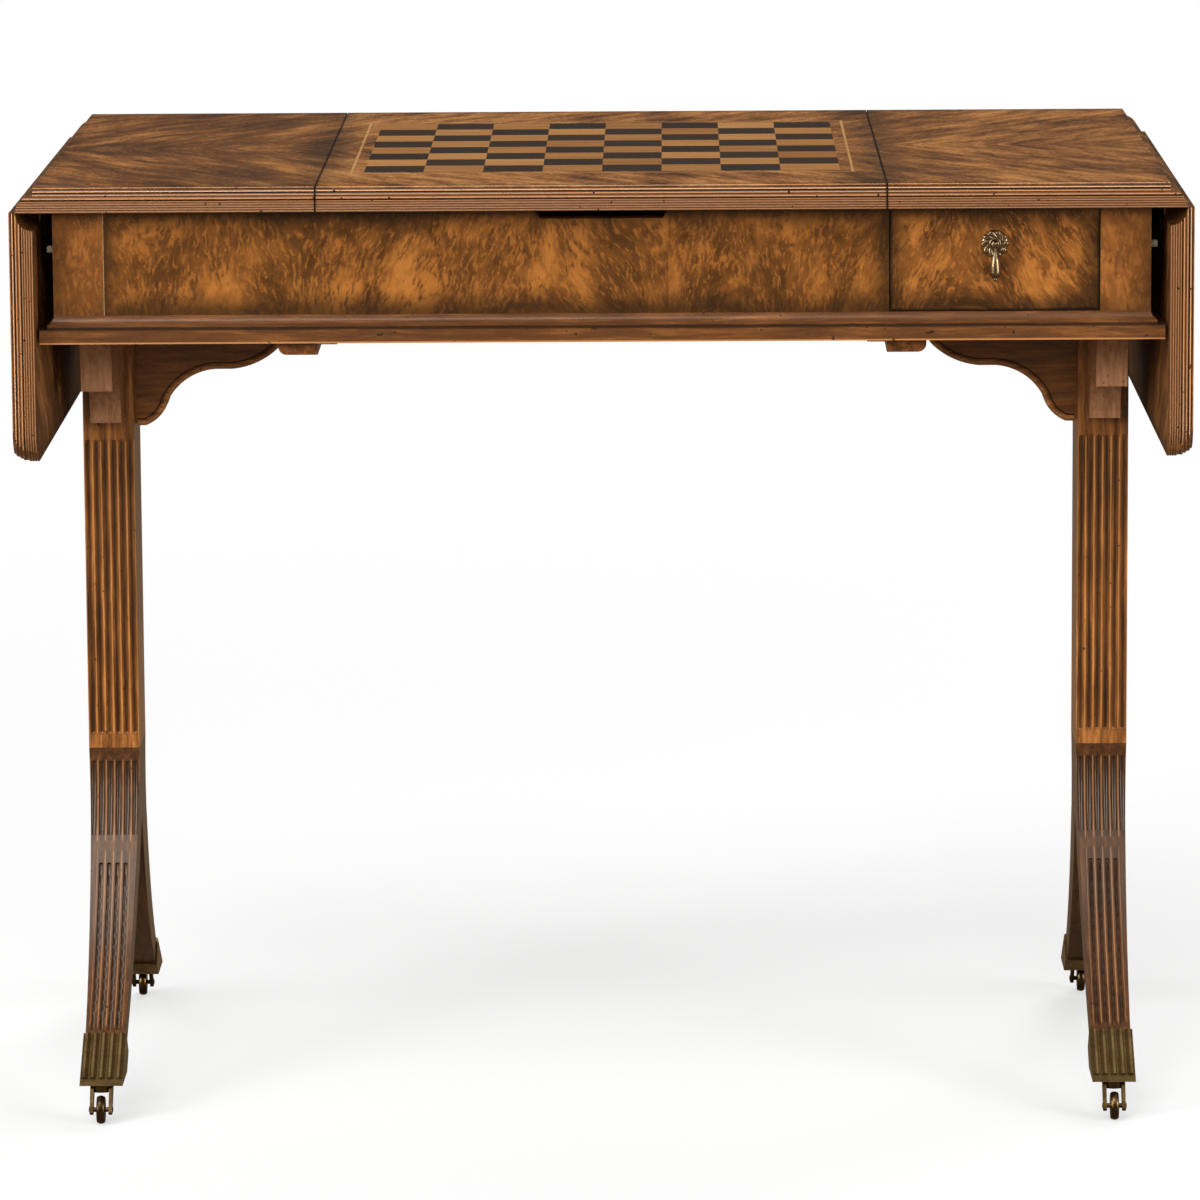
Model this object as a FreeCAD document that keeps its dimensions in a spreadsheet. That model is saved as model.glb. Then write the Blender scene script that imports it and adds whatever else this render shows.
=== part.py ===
"""A games table with end pillars: reeded three-part top, drop leaves, chess panel and backgammon well.

Millimetres. X runs along the table, Y from front (minus) to back, Z up. The origin is on the floor
under the middle of the table.
"""
import FreeCAD
import Part
import Sketcher
import math
import os

SIZES = {
    # whole table
    "height": 787.0,
    "top_length": 942.0,
    "top_depth": 610.0,
    "top_thick": 20.0,
    "panel_length": 460.0,
    "seam_gap": 0.6,
    "overrun": 5.0,
    "fit_gap": 0.4,
    "touch_gap": 0.3,
    # inlay of the game panel and the well
    "inlay_thick": 0.8,
    "square": 48.7,
    "stringing_length": 412.0,
    "stringing_width": 2.0,
    "point_width": 33.0,
    "point_length": 190.0,
    "point_margin": 6.0,
    # moulded edge of the tops and leaves
    "edge_setback": 6.0,
    "edge_lip": 1.6,
    "bead_pitch": 2.8,
    "bead_radius": 1.7,
    "bead_step": 1.5,
    "band_setback": 1.0,
    "reed_pitch": 2.0,
    "reed_radius": 1.2,
    "reed_setback": 0.55,
    # rule joints and drop leaves
    "ovolo_radius": 14.0,
    "leaf_drop": 205.0,
    "leaf_corner": 28.0,
    "hinge_place": 205.0,
    "hinge_width": 50.0,
    "flap_thick": 1.6,
    "flap_reach": 42.0,
    "table_flap_reach": 36.0,
    "knuckle_radius": 3.0,
    "knuckle_room": 0.6,
    "hinge_pin_radius": 1.4,
    "pin_clearance": 0.05,
    # case
    "end_overhang": 27.5,
    "front_overhang": 25.0,
    "frieze_height": 86.0,
    "board_thick": 20.0,
    "post_width": 41.0,
    "floor_thick": 12.0,
    "moulding_height": 22.0,
    "moulding_reach": 11.0,
    "moulding_ledge": 5.0,
    "moulding_cove": 7.0,
    "moulding_cove_radius": 7.5,
    "moulding_fillet": 3.0,
    "well_wall_thick": 16.0,
    "well_wall_lap": 2.0,
    "well_depth": 52.0,
    "well_floor_thick": 10.0,
    "notch_length": 113.0,
    "notch_floor": 99.0,
    "notch_depth": 9.0,
    # drawers
    "drawer_gap": 0.5,
    "drawer_front_thick": 18.0,
    "drawer_board_thick": 8.0,
    "drawer_length": 372.0,
    "drawer_side_height": 56.0,
    "drawer_bottom_thick": 6.0,
    "drawer_bottom_rise": 4.0,
    "runner_width": 14.0,
    "guide_height": 22.0,
    # drawer pulls
    "pull_drop_below_top": 31.0,
    "rosette_radius": 12.5,
    "rosette_rim": 2.0,
    "rosette_dome": 5.0,
    "rosette_curve": 16.0,
    "pull_post_radius": 3.2,
    "pull_post_reach": 12.0,
    "pull_pin_setback": 3.2,
    "pull_slot": 2.6,
    "pull_pin_radius": 0.9,
    "pull_pin_half": 2.8,
    "tongue_thick": 2.0,
    "tongue_radius": 2.2,
    "drop_length": 30.0,
    "drop_radius": 4.6,
    "drop_neck": 0.9,
    "drop_shoulder": 6.0,
    "drop_belly": 5.5,
    "drop_foot_radius": 5.0,
    "finial_radius": 1.7,
    "finial_sink": 0.5,
    "drop_flank_radius": 40.0,
    # leaf supports and buffers
    "loper_width": 24.0,
    "loper_height": 22.0,
    "loper_spacing": 300.0,
    "loper_end_room": 11.5,
    "guide_wall": 7.0,
    "guide_floor": 4.0,
    "guide_length": 70.0,
    "guide_inset": 60.0,
    "buffer_radius": 3.0,
    "buffer_reach": 6.0,
    "buffer_inset": 20.0,
    "buffer_below_top": 34.0,
    # pillars
    "pillar_inset": 1.5,
    "pillar_width": 43.0,
    "pillar_depth": 70.0,
    "pillar_foot": 278.5,
    "flute_pitch": 7.1,
    "flute_radius": 2.5,
    "flute_foot_rise": 13.5,
    "flute_head_drop": 117.5,
    # corbels
    "corbel_width": 26.0,
    "corbel_top_reach": 144.0,
    "corbel_step_out": 115.0,
    "corbel_step_in": 59.0,
    "corbel_toe_reach": 27.0,
    "corbel_height": 97.0,
    "corbel_lip": 6.0,
    "corbel_step_drop": 50.0,
    "corbel_step_height": 8.0,
    "corbel_upper_radius": 46.0,
    "corbel_lower_radius": 38.0,
    # spandrel brackets
    "bracket_thick": 22.0,
    "bracket_length": 122.0,
    "bracket_height": 105.0,
    "bracket_toe_drop": 38.0,
    "bracket_toe_radius": 62.0,
    "bracket_flat_out": 82.0,
    "bracket_flat_in": 68.0,
    "bracket_flat_drop": 57.0,
    "bracket_belly_radius": 52.0,
    "bracket_nose_out": 26.0,
    "bracket_nose_drop": 84.0,
    "bracket_nose_radius": 30.0,
    "bracket_nose_in": 8.0,
    # battens under the case
    "batten_gap": 14.5,
    "batten_width": 32.0,
    "batten_height": 11.5,
    "batten_inset": 5.0,
    "batten_corner": 7.0,
    "plate_width": 16.0,
    "plate_thick": 3.0,
    "plate_length": 40.0,
    # sabre legs
    "leg_top_half_width": 21.5,
    "leg_foot_half_width": 16.0,
    "leg_knee_y": 59.0,
    "leg_knee_z": 199.5,
    "leg_upper_radius": 142.0,
    "leg_lower_radius": 464.0,
    "leg_crotch_z": 212.5,
    "leg_inner_radius": 520.0,
    "leg_ankle_y": 184.0,
    "leg_ankle_z": 62.0,
    "leg_toe_y": 227.0,
    "leg_sole_z": 36.0,
    "leg_heel_y": 186.5,
    "leg_hock_y": 168.0,
    "leg_hock_z": 46.0,
    "leg_flute_radius": 2.4,
    "leg_reed_pitch": 7.0,
    "leg_groove_radius": 1.8,
    # caps and casters
    "cap_wall": 2.0,
    "cap_sole": 5.0,
    "cap_toe_y": 237.0,
    "cap_heel_y": 185.0,
    "cap_lobe_radius": 3.4,
    "cap_lobe_sink": 1.6,
    "cap_lobe_pitch": 7.2,
    "swivel_y": 226.0,
    "swivel_pin_radius": 3.0,
    "fork_plate_radius": 9.5,
    "fork_plate_thick": 3.0,
    "fork_gap": 0.4,
    "fork_cheek": 3.2,
    "fork_cheek_width": 15.0,
    "fork_eye_radius": 4.6,
    "trail": 14.0,
    "wheel_radius": 11.7,
    "wheel_width": 6.6,
    "wheel_crown": 1.2,
    "axle_radius": 2.0,
}

FLUTE_COUNT = 6
LEG_GROOVE_COUNT = 4
CAP_LOBE_COUNT = 5
BEAD_COUNT = 3
REED_COUNT = 4
SQUARE_COUNT = 8
POINT_COUNT = 6
FLUTE_SHARES = (0.14, 0.9)
GROOVE_SHARES = (0.09, 0.97)
LOBE_SHARES = (0.14, 0.98)
LEFT = 1
RIGHT = -1

doc = FreeCAD.newDocument("games_table")
sheet = doc.addObject("Spreadsheet::Sheet", "Sizes")


class Size:
    """A length held both as a formula on the sheet and as the value that the formula gives."""

    def __init__(self, formula, value):
        self.formula = formula
        self.value = value

    def joined(self, other, sign, value):
        return Size("({} {} {})".format(self.formula, sign, other.formula), value)

    def __add__(self, other):
        other = as_size(other)
        return self.joined(other, "+", self.value + other.value)

    def __sub__(self, other):
        other = as_size(other)
        return self.joined(other, "-", self.value - other.value)

    def __mul__(self, other):
        other = as_size(other)
        return self.joined(other, "*", self.value * other.value)

    def __truediv__(self, other):
        other = as_size(other)
        return self.joined(other, "/", self.value / other.value)

    def __neg__(self):
        return Size("(-1 * {})".format(self.formula), -self.value)


def as_size(number):
    """Return a plain number or share as a Size."""
    return number if isinstance(number, Size) else Size(repr(float(number)), float(number))


class Sheet:
    """The driving sizes, one attribute for each alias on the spreadsheet."""

    def __init__(self, sizes):
        for row, (alias, value) in enumerate(sizes.items(), start=1):
            sheet.set("A{}".format(row), alias)
            sheet.set("B{}".format(row), str(value))
            sheet.setAlias("B{}".format(row), alias)
        doc.recompute()
        for alias in sizes:
            setattr(self, alias, Size("Sizes." + alias, float(sheet.get(alias))))


S = Sheet(SIZES)
ZERO = as_size(0)

# heights and places that several pieces share
TOP_UNDER = S.height - S.top_thick
FRIEZE_FOOT = TOP_UNDER - S.frieze_height
CASE_FOOT = FRIEZE_FOOT - S.moulding_height
HALF_DEPTH = S.top_depth / 2
HALF_CASE = S.top_length / 2 - S.end_overhang
CASE_FRONT = HALF_DEPTH - S.front_overhang
CASE_INSIDE = CASE_FRONT - S.board_thick
END_INSIDE = HALF_CASE - S.board_thick
POST_INSIDE_X = HALF_CASE - S.post_width
POST_INSIDE_Y = CASE_FRONT - S.post_width
FLOOR_TOP = CASE_FOOT + S.floor_thick
WELL_SIDE = S.panel_length / 2 + S.well_wall_lap
WELL_INSIDE = WELL_SIDE - S.well_wall_thick
WELL_FLOOR_TOP = TOP_UNDER - S.well_depth
HINGE_X = S.top_length / 2 - S.ovolo_radius
HINGE_Z = TOP_UNDER


# helpers

def bind(feature, path, size):
    """Tie one property of a feature to its formula on the sheet."""
    feature.setExpression(path, as_size(size).formula)


def place(feature, x, y, z):
    """Tie the position of a feature to the sheet."""
    for axis, size in zip("xyz", (x, y, z)):
        bind(feature, "Placement.Base." + axis, size)


def block(name, xs, ys, zs):
    """Return a box between the low and high ends given for each axis."""
    box = doc.addObject("Part::Box", name)
    for path, (low, high) in zip(("Length", "Width", "Height"), (xs, ys, zs)):
        bind(box, path, high - low)
    place(box, xs[0], ys[0], zs[0])
    return box


TURNS = {
    "Z": FreeCAD.Rotation(),
    "X": FreeCAD.Rotation(FreeCAD.Vector(0, 1, 0), 90),
    "Y": FreeCAD.Rotation(FreeCAD.Vector(1, 0, 0), -90),
}


def rod(name, radius, start, length, along="Z"):
    """Return a cylinder from its start point along one axis."""
    cylinder = doc.addObject("Part::Cylinder", name)
    cylinder.Placement.Rotation = TURNS[along]
    bind(cylinder, "Radius", radius)
    bind(cylinder, "Height", length)
    place(cylinder, *start)
    return cylinder


def ball(name, radius, centre):
    """Return a sphere."""
    sphere = doc.addObject("Part::Sphere", name)
    bind(sphere, "Radius", radius)
    place(sphere, *centre)
    return sphere


def cut(name, base, tool):
    """Return base with tool taken away."""
    result = doc.addObject("Part::Cut", name)
    result.Base = base
    result.Tool = tool
    return result


def common(name, first, second):
    """Return what two shapes share."""
    result = doc.addObject("Part::Common", name)
    result.Base = first
    result.Tool = second
    return result


def fuse(name, pieces):
    """Return one solid from pieces that run into each other."""
    result = doc.addObject("Part::MultiFuse", name)
    result.Shapes = pieces
    return result


def group(name, pieces):
    """Return separate solids as one node."""
    result = doc.addObject("Part::Compound", name)
    result.Links = pieces
    return result


def mirrored(name, source, normal):
    """Return the mirror image of a piece across a plane through the origin."""
    result = doc.addObject("Part::Mirroring", name)
    result.Source = source
    result.Normal = FreeCAD.Vector(*normal)
    return result


ACROSS_X = (1, 0, 0)
ACROSS_Y = (0, 1, 0)
HALF_TURN = FreeCAD.Rotation(FreeCAD.Vector(0, 0, 1), 180)


def turned(name, source):
    """Return a copy of a piece turned half round the vertical axis."""
    result = group(name, [source])
    result.Placement = FreeCAD.Placement(FreeCAD.Vector(), HALF_TURN)
    return result


def arc_edge(start, end, radius, side):
    """Return a sketch arc between two points, with its centre to the left or right of the way along."""
    run = end - start
    middle = (start + end) * 0.5
    rise = math.sqrt(max(radius ** 2 - (run.Length / 2) ** 2, 0))
    centre = middle + FreeCAD.Vector(-run.y, run.x, 0).normalize() * rise * side
    first, last = (start, end) if side == LEFT else (end, start)
    angles = [math.atan2(point.y - centre.y, point.x - centre.x) for point in (first, last)]
    if angles[1] < angles[0]:
        angles[1] += 2 * math.pi
    circle = Part.Circle(centre, FreeCAD.Vector(0, 0, 1), radius)
    return Part.ArcOfCircle(circle, *angles)


def sketch_on(body, plane, offset):
    """Return an empty sketch on one of the body's own planes, moved along the plane's normal."""
    sketch = body.newObject("Sketcher::SketchObject", body.Name + "_sketch")
    planes = {feature.Role: feature for feature in body.Origin.OriginFeatures}
    sketch.AttachmentSupport = [(planes[plane + "_Plane"], "")]
    sketch.MapMode = "FlatFace"
    bind(sketch, "AttachmentOffset.Base.z", offset)
    return sketch


def draw(sketch, corners, closed=True):
    """Draw an outline through corners: (u, v), or (u, v, radius, side) where an arc runs on to the next."""
    spots = [FreeCAD.Vector(corner[0].value, corner[1].value, 0) for corner in corners]
    runs = len(corners) if closed else len(corners) - 1
    ends = []
    for index in range(runs):
        start, end = spots[index], spots[(index + 1) % len(spots)]
        if len(corners[index]) == 2:
            sketch.addGeometry(Part.LineSegment(start, end))
            ends.append((1, 2))
        else:
            radius, side = corners[index][2:]
            sketch.addGeometry(arc_edge(start, end, radius.value, side))
            ends.append((1, 2) if side == LEFT else (2, 1))
    for index in range(runs if closed else runs - 1):
        following = (index + 1) % runs
        joint = Sketcher.Constraint("Coincident", index, ends[index][1], following, ends[following][0])
        sketch.addConstraint(joint)
    for index, corner in enumerate(corners):
        edge, end = (index, 0) if index < runs else (runs - 1, 1)
        for kind, word, size in (("DistanceX", "across", corner[0]), ("DistanceY", "up", corner[1])):
            tie(sketch, word + str(index), size, kind, -1, 1, edge, ends[edge][end])
        if len(corner) > 2 and index < runs:
            tie(sketch, "radius" + str(index), corner[2], "Radius", index)


def tie(sketch, name, size, kind, *where):
    """Add one named dimension to a sketch and bind it to the sheet."""
    number = sketch.addConstraint(Sketcher.Constraint(kind, *where, size.value))
    sketch.renameConstraint(number, name)
    bind(sketch, "Constraints." + name, size)


def prism(name, plane, corners, low, high):
    """Return a body padded from an outline, between two places along the axis square to its plane."""
    body = doc.addObject("PartDesign::Body", name)
    start = -high if plane == "XZ" else low
    sketch = sketch_on(body, plane, start)
    draw(sketch, corners)
    pad = body.newObject("PartDesign::Pad", name + "_pad")
    pad.Profile = sketch
    bind(pad, "Length", high - low)
    return body


def turning(name, corners):
    """Return a body revolved about the Z axis from a half outline in the XZ plane."""
    body = doc.addObject("PartDesign::Body", name)
    sketch = sketch_on(body, "XZ", ZERO)
    draw(sketch, corners)
    spin = body.newObject("PartDesign::Revolution", name + "_spin")
    spin.Profile = sketch
    spin.ReferenceAxis = (sketch, ["V_Axis"])
    spin.Angle = 360
    return body


# moulded edge

def edge_run():
    """Return the setbacks and drops down a moulded edge, and the radius of each run that is a bead."""
    drop = S.edge_lip
    setback = S.edge_setback
    run = [(setback, ZERO, None), (setback, drop, None)]
    for _ in range(BEAD_COUNT):
        setback = setback - S.bead_step
        run.append((setback, drop, S.bead_radius))
        drop = drop + S.bead_pitch
        run.append((setback, drop, None))
    run.append((S.band_setback, drop, None))
    drop = S.top_thick - S.reed_pitch * REED_COUNT
    run.append((S.band_setback, drop, None))
    for _ in range(REED_COUNT):
        run.append((S.reed_setback, drop, S.reed_radius))
        drop = drop + S.reed_pitch
    run.append((S.reed_setback, drop, None))
    return run


def edge_corners(spot, side):
    """Return the corners of a moulded edge, placed by spot(setback, drop), beads centred on one side."""
    corners = []
    for setback, drop, radius in edge_run():
        corners.append(spot(setback, drop) + ((radius, side) if radius else ()))
    return corners


def reversed_run(corners):
    """Return an open run of corners walked from its far end, with each arc kept on its own stretch."""
    spots = [corner[:2] for corner in corners][::-1]
    arcs = [corner[2:] for corner in corners][::-1][1:] + [()]
    return [spot + ((arc[0], -arc[1]) if arc else ()) for spot, arc in zip(spots, arcs)]


def board_section():
    """Return the section of a top board in YZ, with the moulded edge at front and back."""
    front = edge_corners(lambda setback, drop: (setback - HALF_DEPTH, S.height - drop), LEFT)
    back = edge_corners(lambda setback, drop: (HALF_DEPTH - setback, S.height - drop), RIGHT)
    return front + reversed_run(back)


# three-part top

def both_ways(size):
    """Return the low and high ends of a span centred on zero."""
    return (-size, size)


def around(middle, half):
    """Return the low and high ends of a span centred on a place."""
    return (middle - half, middle + half)


def stringing(name, high):
    """Return the square inlaid line round the chessboard, from its bed up to a height."""
    outside = S.stringing_length / 2
    inside = outside - S.stringing_width
    bed = S.height - S.inlay_thick
    frame = block(name + "_frame", both_ways(outside), both_ways(outside), (bed, high))
    field_span = both_ways(inside)
    field = block(name + "_field", field_span, field_span, (bed - S.overrun, high + S.overrun))
    return cut(name, frame, field)


def chess_squares():
    """Return the inlaid squares of the chessboard, dark at the near left corner."""
    half_board = S.square * SQUARE_COUNT / 2
    squares = {"light": [], "dark": []}
    for row in range(SQUARE_COUNT):
        for column in range(SQUARE_COUNT):
            shade = "dark" if (row + column) % 2 == 0 else "light"
            west = S.square * column - half_board
            south = S.square * row - half_board
            span = ((west, west + S.square), (south, south + S.square), (S.height - S.inlay_thick, S.height))
            squares[shade].append(block("{}_square_{}_{}".format(shade, row, column), *span))
    return [group("board_{}_squares".format(shade), pieces) for shade, pieces in squares.items()]


def game_panel():
    """Return the lift-out centre of the top, bedded for its chessboard and stringing."""
    half = (S.panel_length - S.seam_gap) / 2
    board = prism("panel_board", "YZ", board_section(), -half, half)
    half_board = both_ways(S.square * SQUARE_COUNT / 2)
    above = S.height + S.overrun
    bed = block("board_bed", half_board, half_board, (S.height - S.inlay_thick, above))
    return cut("game_panel", board, group("inlay_beds", [bed, stringing("stringing_bed", above)]))


def hinge_spots():
    """Return the middles of the two hinges of a leaf, front and back."""
    return (("front", -S.hinge_place), ("back", S.hinge_place))


def hinge_recesses():
    """Return the cuts in the underside of the right end top that hold the hinges and let them turn."""
    cuts = []
    below = HINGE_Z - S.overrun
    flap_seat = HINGE_Z + S.flap_thick
    for place_name, middle in hinge_spots():
        width = around(middle, S.hinge_width / 2)
        seat = block("flap_seat_" + place_name, (HINGE_X - S.table_flap_reach, HINGE_X), width, (below, flap_seat))
        outer = (HINGE_X - S.touch_gap, HINGE_X + S.ovolo_radius + S.overrun)
        swing = block("flap_swing_" + place_name, outer, width, (below, flap_seat + S.fit_gap))
        room = S.knuckle_radius + S.knuckle_room
        knuckle = block("knuckle_room_" + place_name, around(HINGE_X, room), width, (below, HINGE_Z + room))
        cuts.append(fuse("hinge_recess_" + place_name, [seat, swing, knuckle]))
    return group("hinge_recesses", cuts)


def end_tops():
    """Return the fixed tops at the two ends, each with a rule-joint ovolo along its outer edge."""
    seam = (S.panel_length + S.seam_gap) / 2
    reach = HINGE_X + S.ovolo_radius
    board = prism("end_board", "YZ", board_section(), seam, reach + S.overrun)
    low, high = TOP_UNDER - S.overrun, S.height + S.overrun
    inner = seam - S.overrun
    ovolo = [
        (inner, low),
        (reach, low),
        (reach, TOP_UNDER, S.ovolo_radius, LEFT),
        (HINGE_X, TOP_UNDER + S.ovolo_radius),
        (HINGE_X, high),
        (inner, high),
    ]
    deep = HALF_DEPTH + S.overrun
    shaped = common("end_top_shaped", board, prism("end_ovolo", "XZ", ovolo, -deep, deep))
    right = cut("end_top_right", shaped, hinge_recesses())
    return [right, mirrored("end_top_left", right, ACROSS_X)]


# drop leaves

def leaf_blank():
    """Return the right leaf hanging, its three free edges moulded, before the cove is cut."""
    top = HINGE_Z - S.fit_gap
    low = HINGE_Z - S.leaf_drop
    round_high = low + S.leaf_corner
    round_in = HALF_DEPTH - S.leaf_corner
    border = [
        (-HALF_DEPTH, round_high, S.leaf_corner, LEFT),
        (-round_in, low),
        (round_in, low, S.leaf_corner, LEFT),
        (HALF_DEPTH, round_high),
    ]
    outside = HINGE_X + S.top_thick
    sides = [(-HALF_DEPTH, top)] + border + [(HALF_DEPTH, top)]
    body = prism("right_leaf_blank", "YZ", sides, HINGE_X, outside)
    above = top + S.overrun
    path = sketch_on(body, "YZ", HINGE_X)
    draw(path, [(-HALF_DEPTH, above)] + border + [(HALF_DEPTH, above)], closed=False)
    profile = sketch_on(body, "XY", above)
    comb = edge_corners(lambda setback, drop: (outside - drop, setback - HALF_DEPTH), RIGHT)
    clear = -HALF_DEPTH - S.overrun
    far, near = outside + S.overrun, HINGE_X - S.overrun
    edge = comb[-1][1]
    draw(profile, comb + [(near, edge), (near, clear), (far, clear), (far, comb[0][1])])
    mould = body.newObject("PartDesign::SubtractivePipe", "right_leaf_mould")
    mould.Profile = profile
    mould.Spine = path
    return body


def leaves():
    """Return the two hanging leaves with their coves and hinge beds."""
    radius = S.ovolo_radius + S.fit_gap
    deep = HALF_DEPTH + S.overrun
    cuts = [rod("cove", radius, (HINGE_X, -deep, HINGE_Z), deep * 2, "Y")]
    for place_name, middle in hinge_spots():
        width = around(middle, S.hinge_width / 2 - S.fit_gap)
        bed = (HINGE_X - S.overrun, HINGE_X + S.flap_thick)
        cuts.append(block("leaf_bed_" + place_name, bed, width, (HINGE_Z - S.flap_reach, HINGE_Z)))
    blank = leaf_blank()
    for number, tool in enumerate(cuts):
        name = "right_leaf" if number == len(cuts) - 1 else "right_leaf_cut_{}".format(number)
        blank = cut(name, blank, tool)
    return [blank, mirrored("left_leaf", blank, ACROSS_X)]


def knuckle(name, span, bridge):
    """Return one knuckle of a hinge: a bored barrel round the hinge line and the bridge to its plate."""
    barrel = rod(name + "_barrel", S.knuckle_radius, (HINGE_X, span[0], HINGE_Z), span[1] - span[0], "Y")
    return fuse(name, [barrel, block(name + "_bridge", bridge[0], span, bridge[1])])


def hinges():
    """Return the brass hinge flaps of both ends, fixed and swinging, and their pins."""
    root = S.knuckle_radius + S.fit_gap
    table_flaps, leaf_flaps, pins = [], [], []
    flap_level = (HINGE_Z, HINGE_Z + S.flap_thick)
    flap_hung = (HINGE_X, HINGE_X + S.flap_thick)
    for place_name, middle in hinge_spots():
        half = S.hinge_width / 2
        third = S.hinge_width / 6
        start = (HINGE_X, middle - half - S.overrun, HINGE_Z)
        through = S.hinge_width + S.overrun * 2
        plate = block("table_plate_" + place_name, (HINGE_X - S.table_flap_reach, HINGE_X - root),
                      around(middle, half), flap_level)
        bridge = ((HINGE_X - root, HINGE_X), flap_level)
        outer = [knuckle("table_knuckle_{}_{}".format(place_name, number), span, bridge)
                 for number, span in enumerate(((middle - half, middle - third), (middle + third, middle + half)))]
        solid = fuse("table_flap_solid_" + place_name, [plate] + outer)
        bore = rod("table_flap_bore_" + place_name, S.hinge_pin_radius, start, through, "Y")
        table_flaps.append(cut("table_flap_" + place_name, solid, bore))

        plate = block("leaf_plate_" + place_name, flap_hung, around(middle, half - S.fit_gap),
                      (HINGE_Z - S.flap_reach, HINGE_Z - root))
        bridge = (flap_hung, (HINGE_Z - root, HINGE_Z))
        inner = knuckle("leaf_knuckle_" + place_name, around(middle, third - S.fit_gap), bridge)
        solid = fuse("leaf_flap_solid_" + place_name, [plate, inner])
        bore = rod("leaf_flap_bore_" + place_name, S.hinge_pin_radius + S.pin_clearance, start, through, "Y")
        leaf_flaps.append(cut("leaf_flap_" + place_name, solid, bore))

        spot = (HINGE_X, middle - half, HINGE_Z)
        pins.append(rod("hinge_pin_" + place_name, S.hinge_pin_radius, spot, S.hinge_width, "Y"))
    swinging = group("right_leaf_hinge_flaps", leaf_flaps)
    fixed = [group("table_flaps_right", table_flaps), group("hinge_pins_right", pins)]
    return [
        swinging,
        mirrored("left_leaf_hinge_flaps", swinging, ACROSS_X),
        group("table_hinge_flaps", [fixed[0], mirrored("table_flaps_left", fixed[0], ACROSS_X)]),
        group("hinge_pins", [fixed[1], mirrored("hinge_pins_left", fixed[1], ACROSS_X)]),
    ]


# case

def fascia(name, notched):
    """Return the long frieze board of one side, with the finger notch where the panel is lifted."""
    left, right = -POST_INSIDE_X, WELL_SIDE
    top = [(right, TOP_UNDER), (left, TOP_UNDER)]
    if notched:
        high, floor = S.notch_length / 2, S.notch_floor / 2
        notch_low = TOP_UNDER - S.notch_depth
        notch = [(high, TOP_UNDER), (floor, notch_low), (-floor, notch_low), (-high, TOP_UNDER)]
        top = top[:1] + notch + top[1:]
    corners = [(left, FRIEZE_FOOT), (right, FRIEZE_FOOT)] + top
    return prism(name, "XZ", corners, -CASE_FRONT, -CASE_INSIDE)


def moulding(name, plane, face, inside, length):
    """Return one mitred length of the base moulding, for the front (YZ section) or right end (XZ)."""
    way = 1 if plane == "XZ" else -1
    ledge = face + S.moulding_ledge
    reach = face + S.moulding_reach
    cove_low = FRIEZE_FOOT - S.moulding_cove
    step = cove_low - S.moulding_fillet
    side = RIGHT * way
    outline = [(inside, CASE_FOOT), (reach, CASE_FOOT), (reach, step), (ledge, step),
               (ledge, cove_low, S.moulding_cove_radius, side), (face, FRIEZE_FOOT), (inside, FRIEZE_FOOT)]
    corners = [(corner[0] * way,) + corner[1:] for corner in outline]
    long = length + S.moulding_reach + S.overrun
    run = prism(name + "_run", plane, corners, -long, long)
    out = face + S.moulding_reach + S.overrun
    deep = S.moulding_reach + S.board_thick + S.overrun * 2
    mitre = [(out, -long), (out, long), (out - deep, long - deep), (out - deep, deep - long)]
    if plane == "YZ":
        mitre = [(along, -outward) for outward, along in mitre]
    wedge = prism(name + "_mitre", "XY", mitre, CASE_FOOT - S.overrun, FRIEZE_FOOT + S.overrun)
    return common(name, run, wedge)


def base_mouldings():
    """Return the four mitred mouldings round the foot of the case."""
    front = moulding("moulding_front", "YZ", CASE_FRONT, CASE_INSIDE, HALF_CASE)
    right = moulding("moulding_right", "XZ", HALF_CASE, END_INSIDE, CASE_FRONT)
    pieces = [front, mirrored("moulding_back", front, ACROSS_Y)]
    pieces += [right, mirrored("moulding_left", right, ACROSS_X)]
    return group("base_mouldings", pieces)


def four_corners(name, source):
    """Return a piece and its three mirror images, named for the corners of the table."""
    left = mirrored(name.format("left", "front"), source, ACROSS_X)
    back = mirrored(name.format("right", "back"), source, ACROSS_Y)
    return [source, left, back, mirrored(name.format("left", "back"), back, ACROSS_X)]


def loper_level():
    """Return the bottom and top of the lopers, just under the top."""
    high = TOP_UNDER - S.touch_gap
    return (high - S.loper_height, high)


def end_rails():
    """Return the end boards of the case, slotted for the lopers."""
    board = block("end_board_right", (END_INSIDE, HALF_CASE), both_ways(POST_INSIDE_Y), (FRIEZE_FOOT, TOP_UNDER))
    slots = []
    for number, middle in enumerate(both_ways(S.loper_spacing / 2)):
        width = around(middle, S.loper_width / 2 + S.fit_gap)
        tall = (loper_level()[0] - S.fit_gap, TOP_UNDER + S.overrun)
        through = (END_INSIDE - S.overrun, HALF_CASE + S.overrun)
        slots.append(block("loper_slot_{}".format(number), through, width, tall))
    right = cut("end_rail_right", board, group("loper_slots", slots))
    return [right, mirrored("end_rail_left", right, ACROSS_X)]


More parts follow.
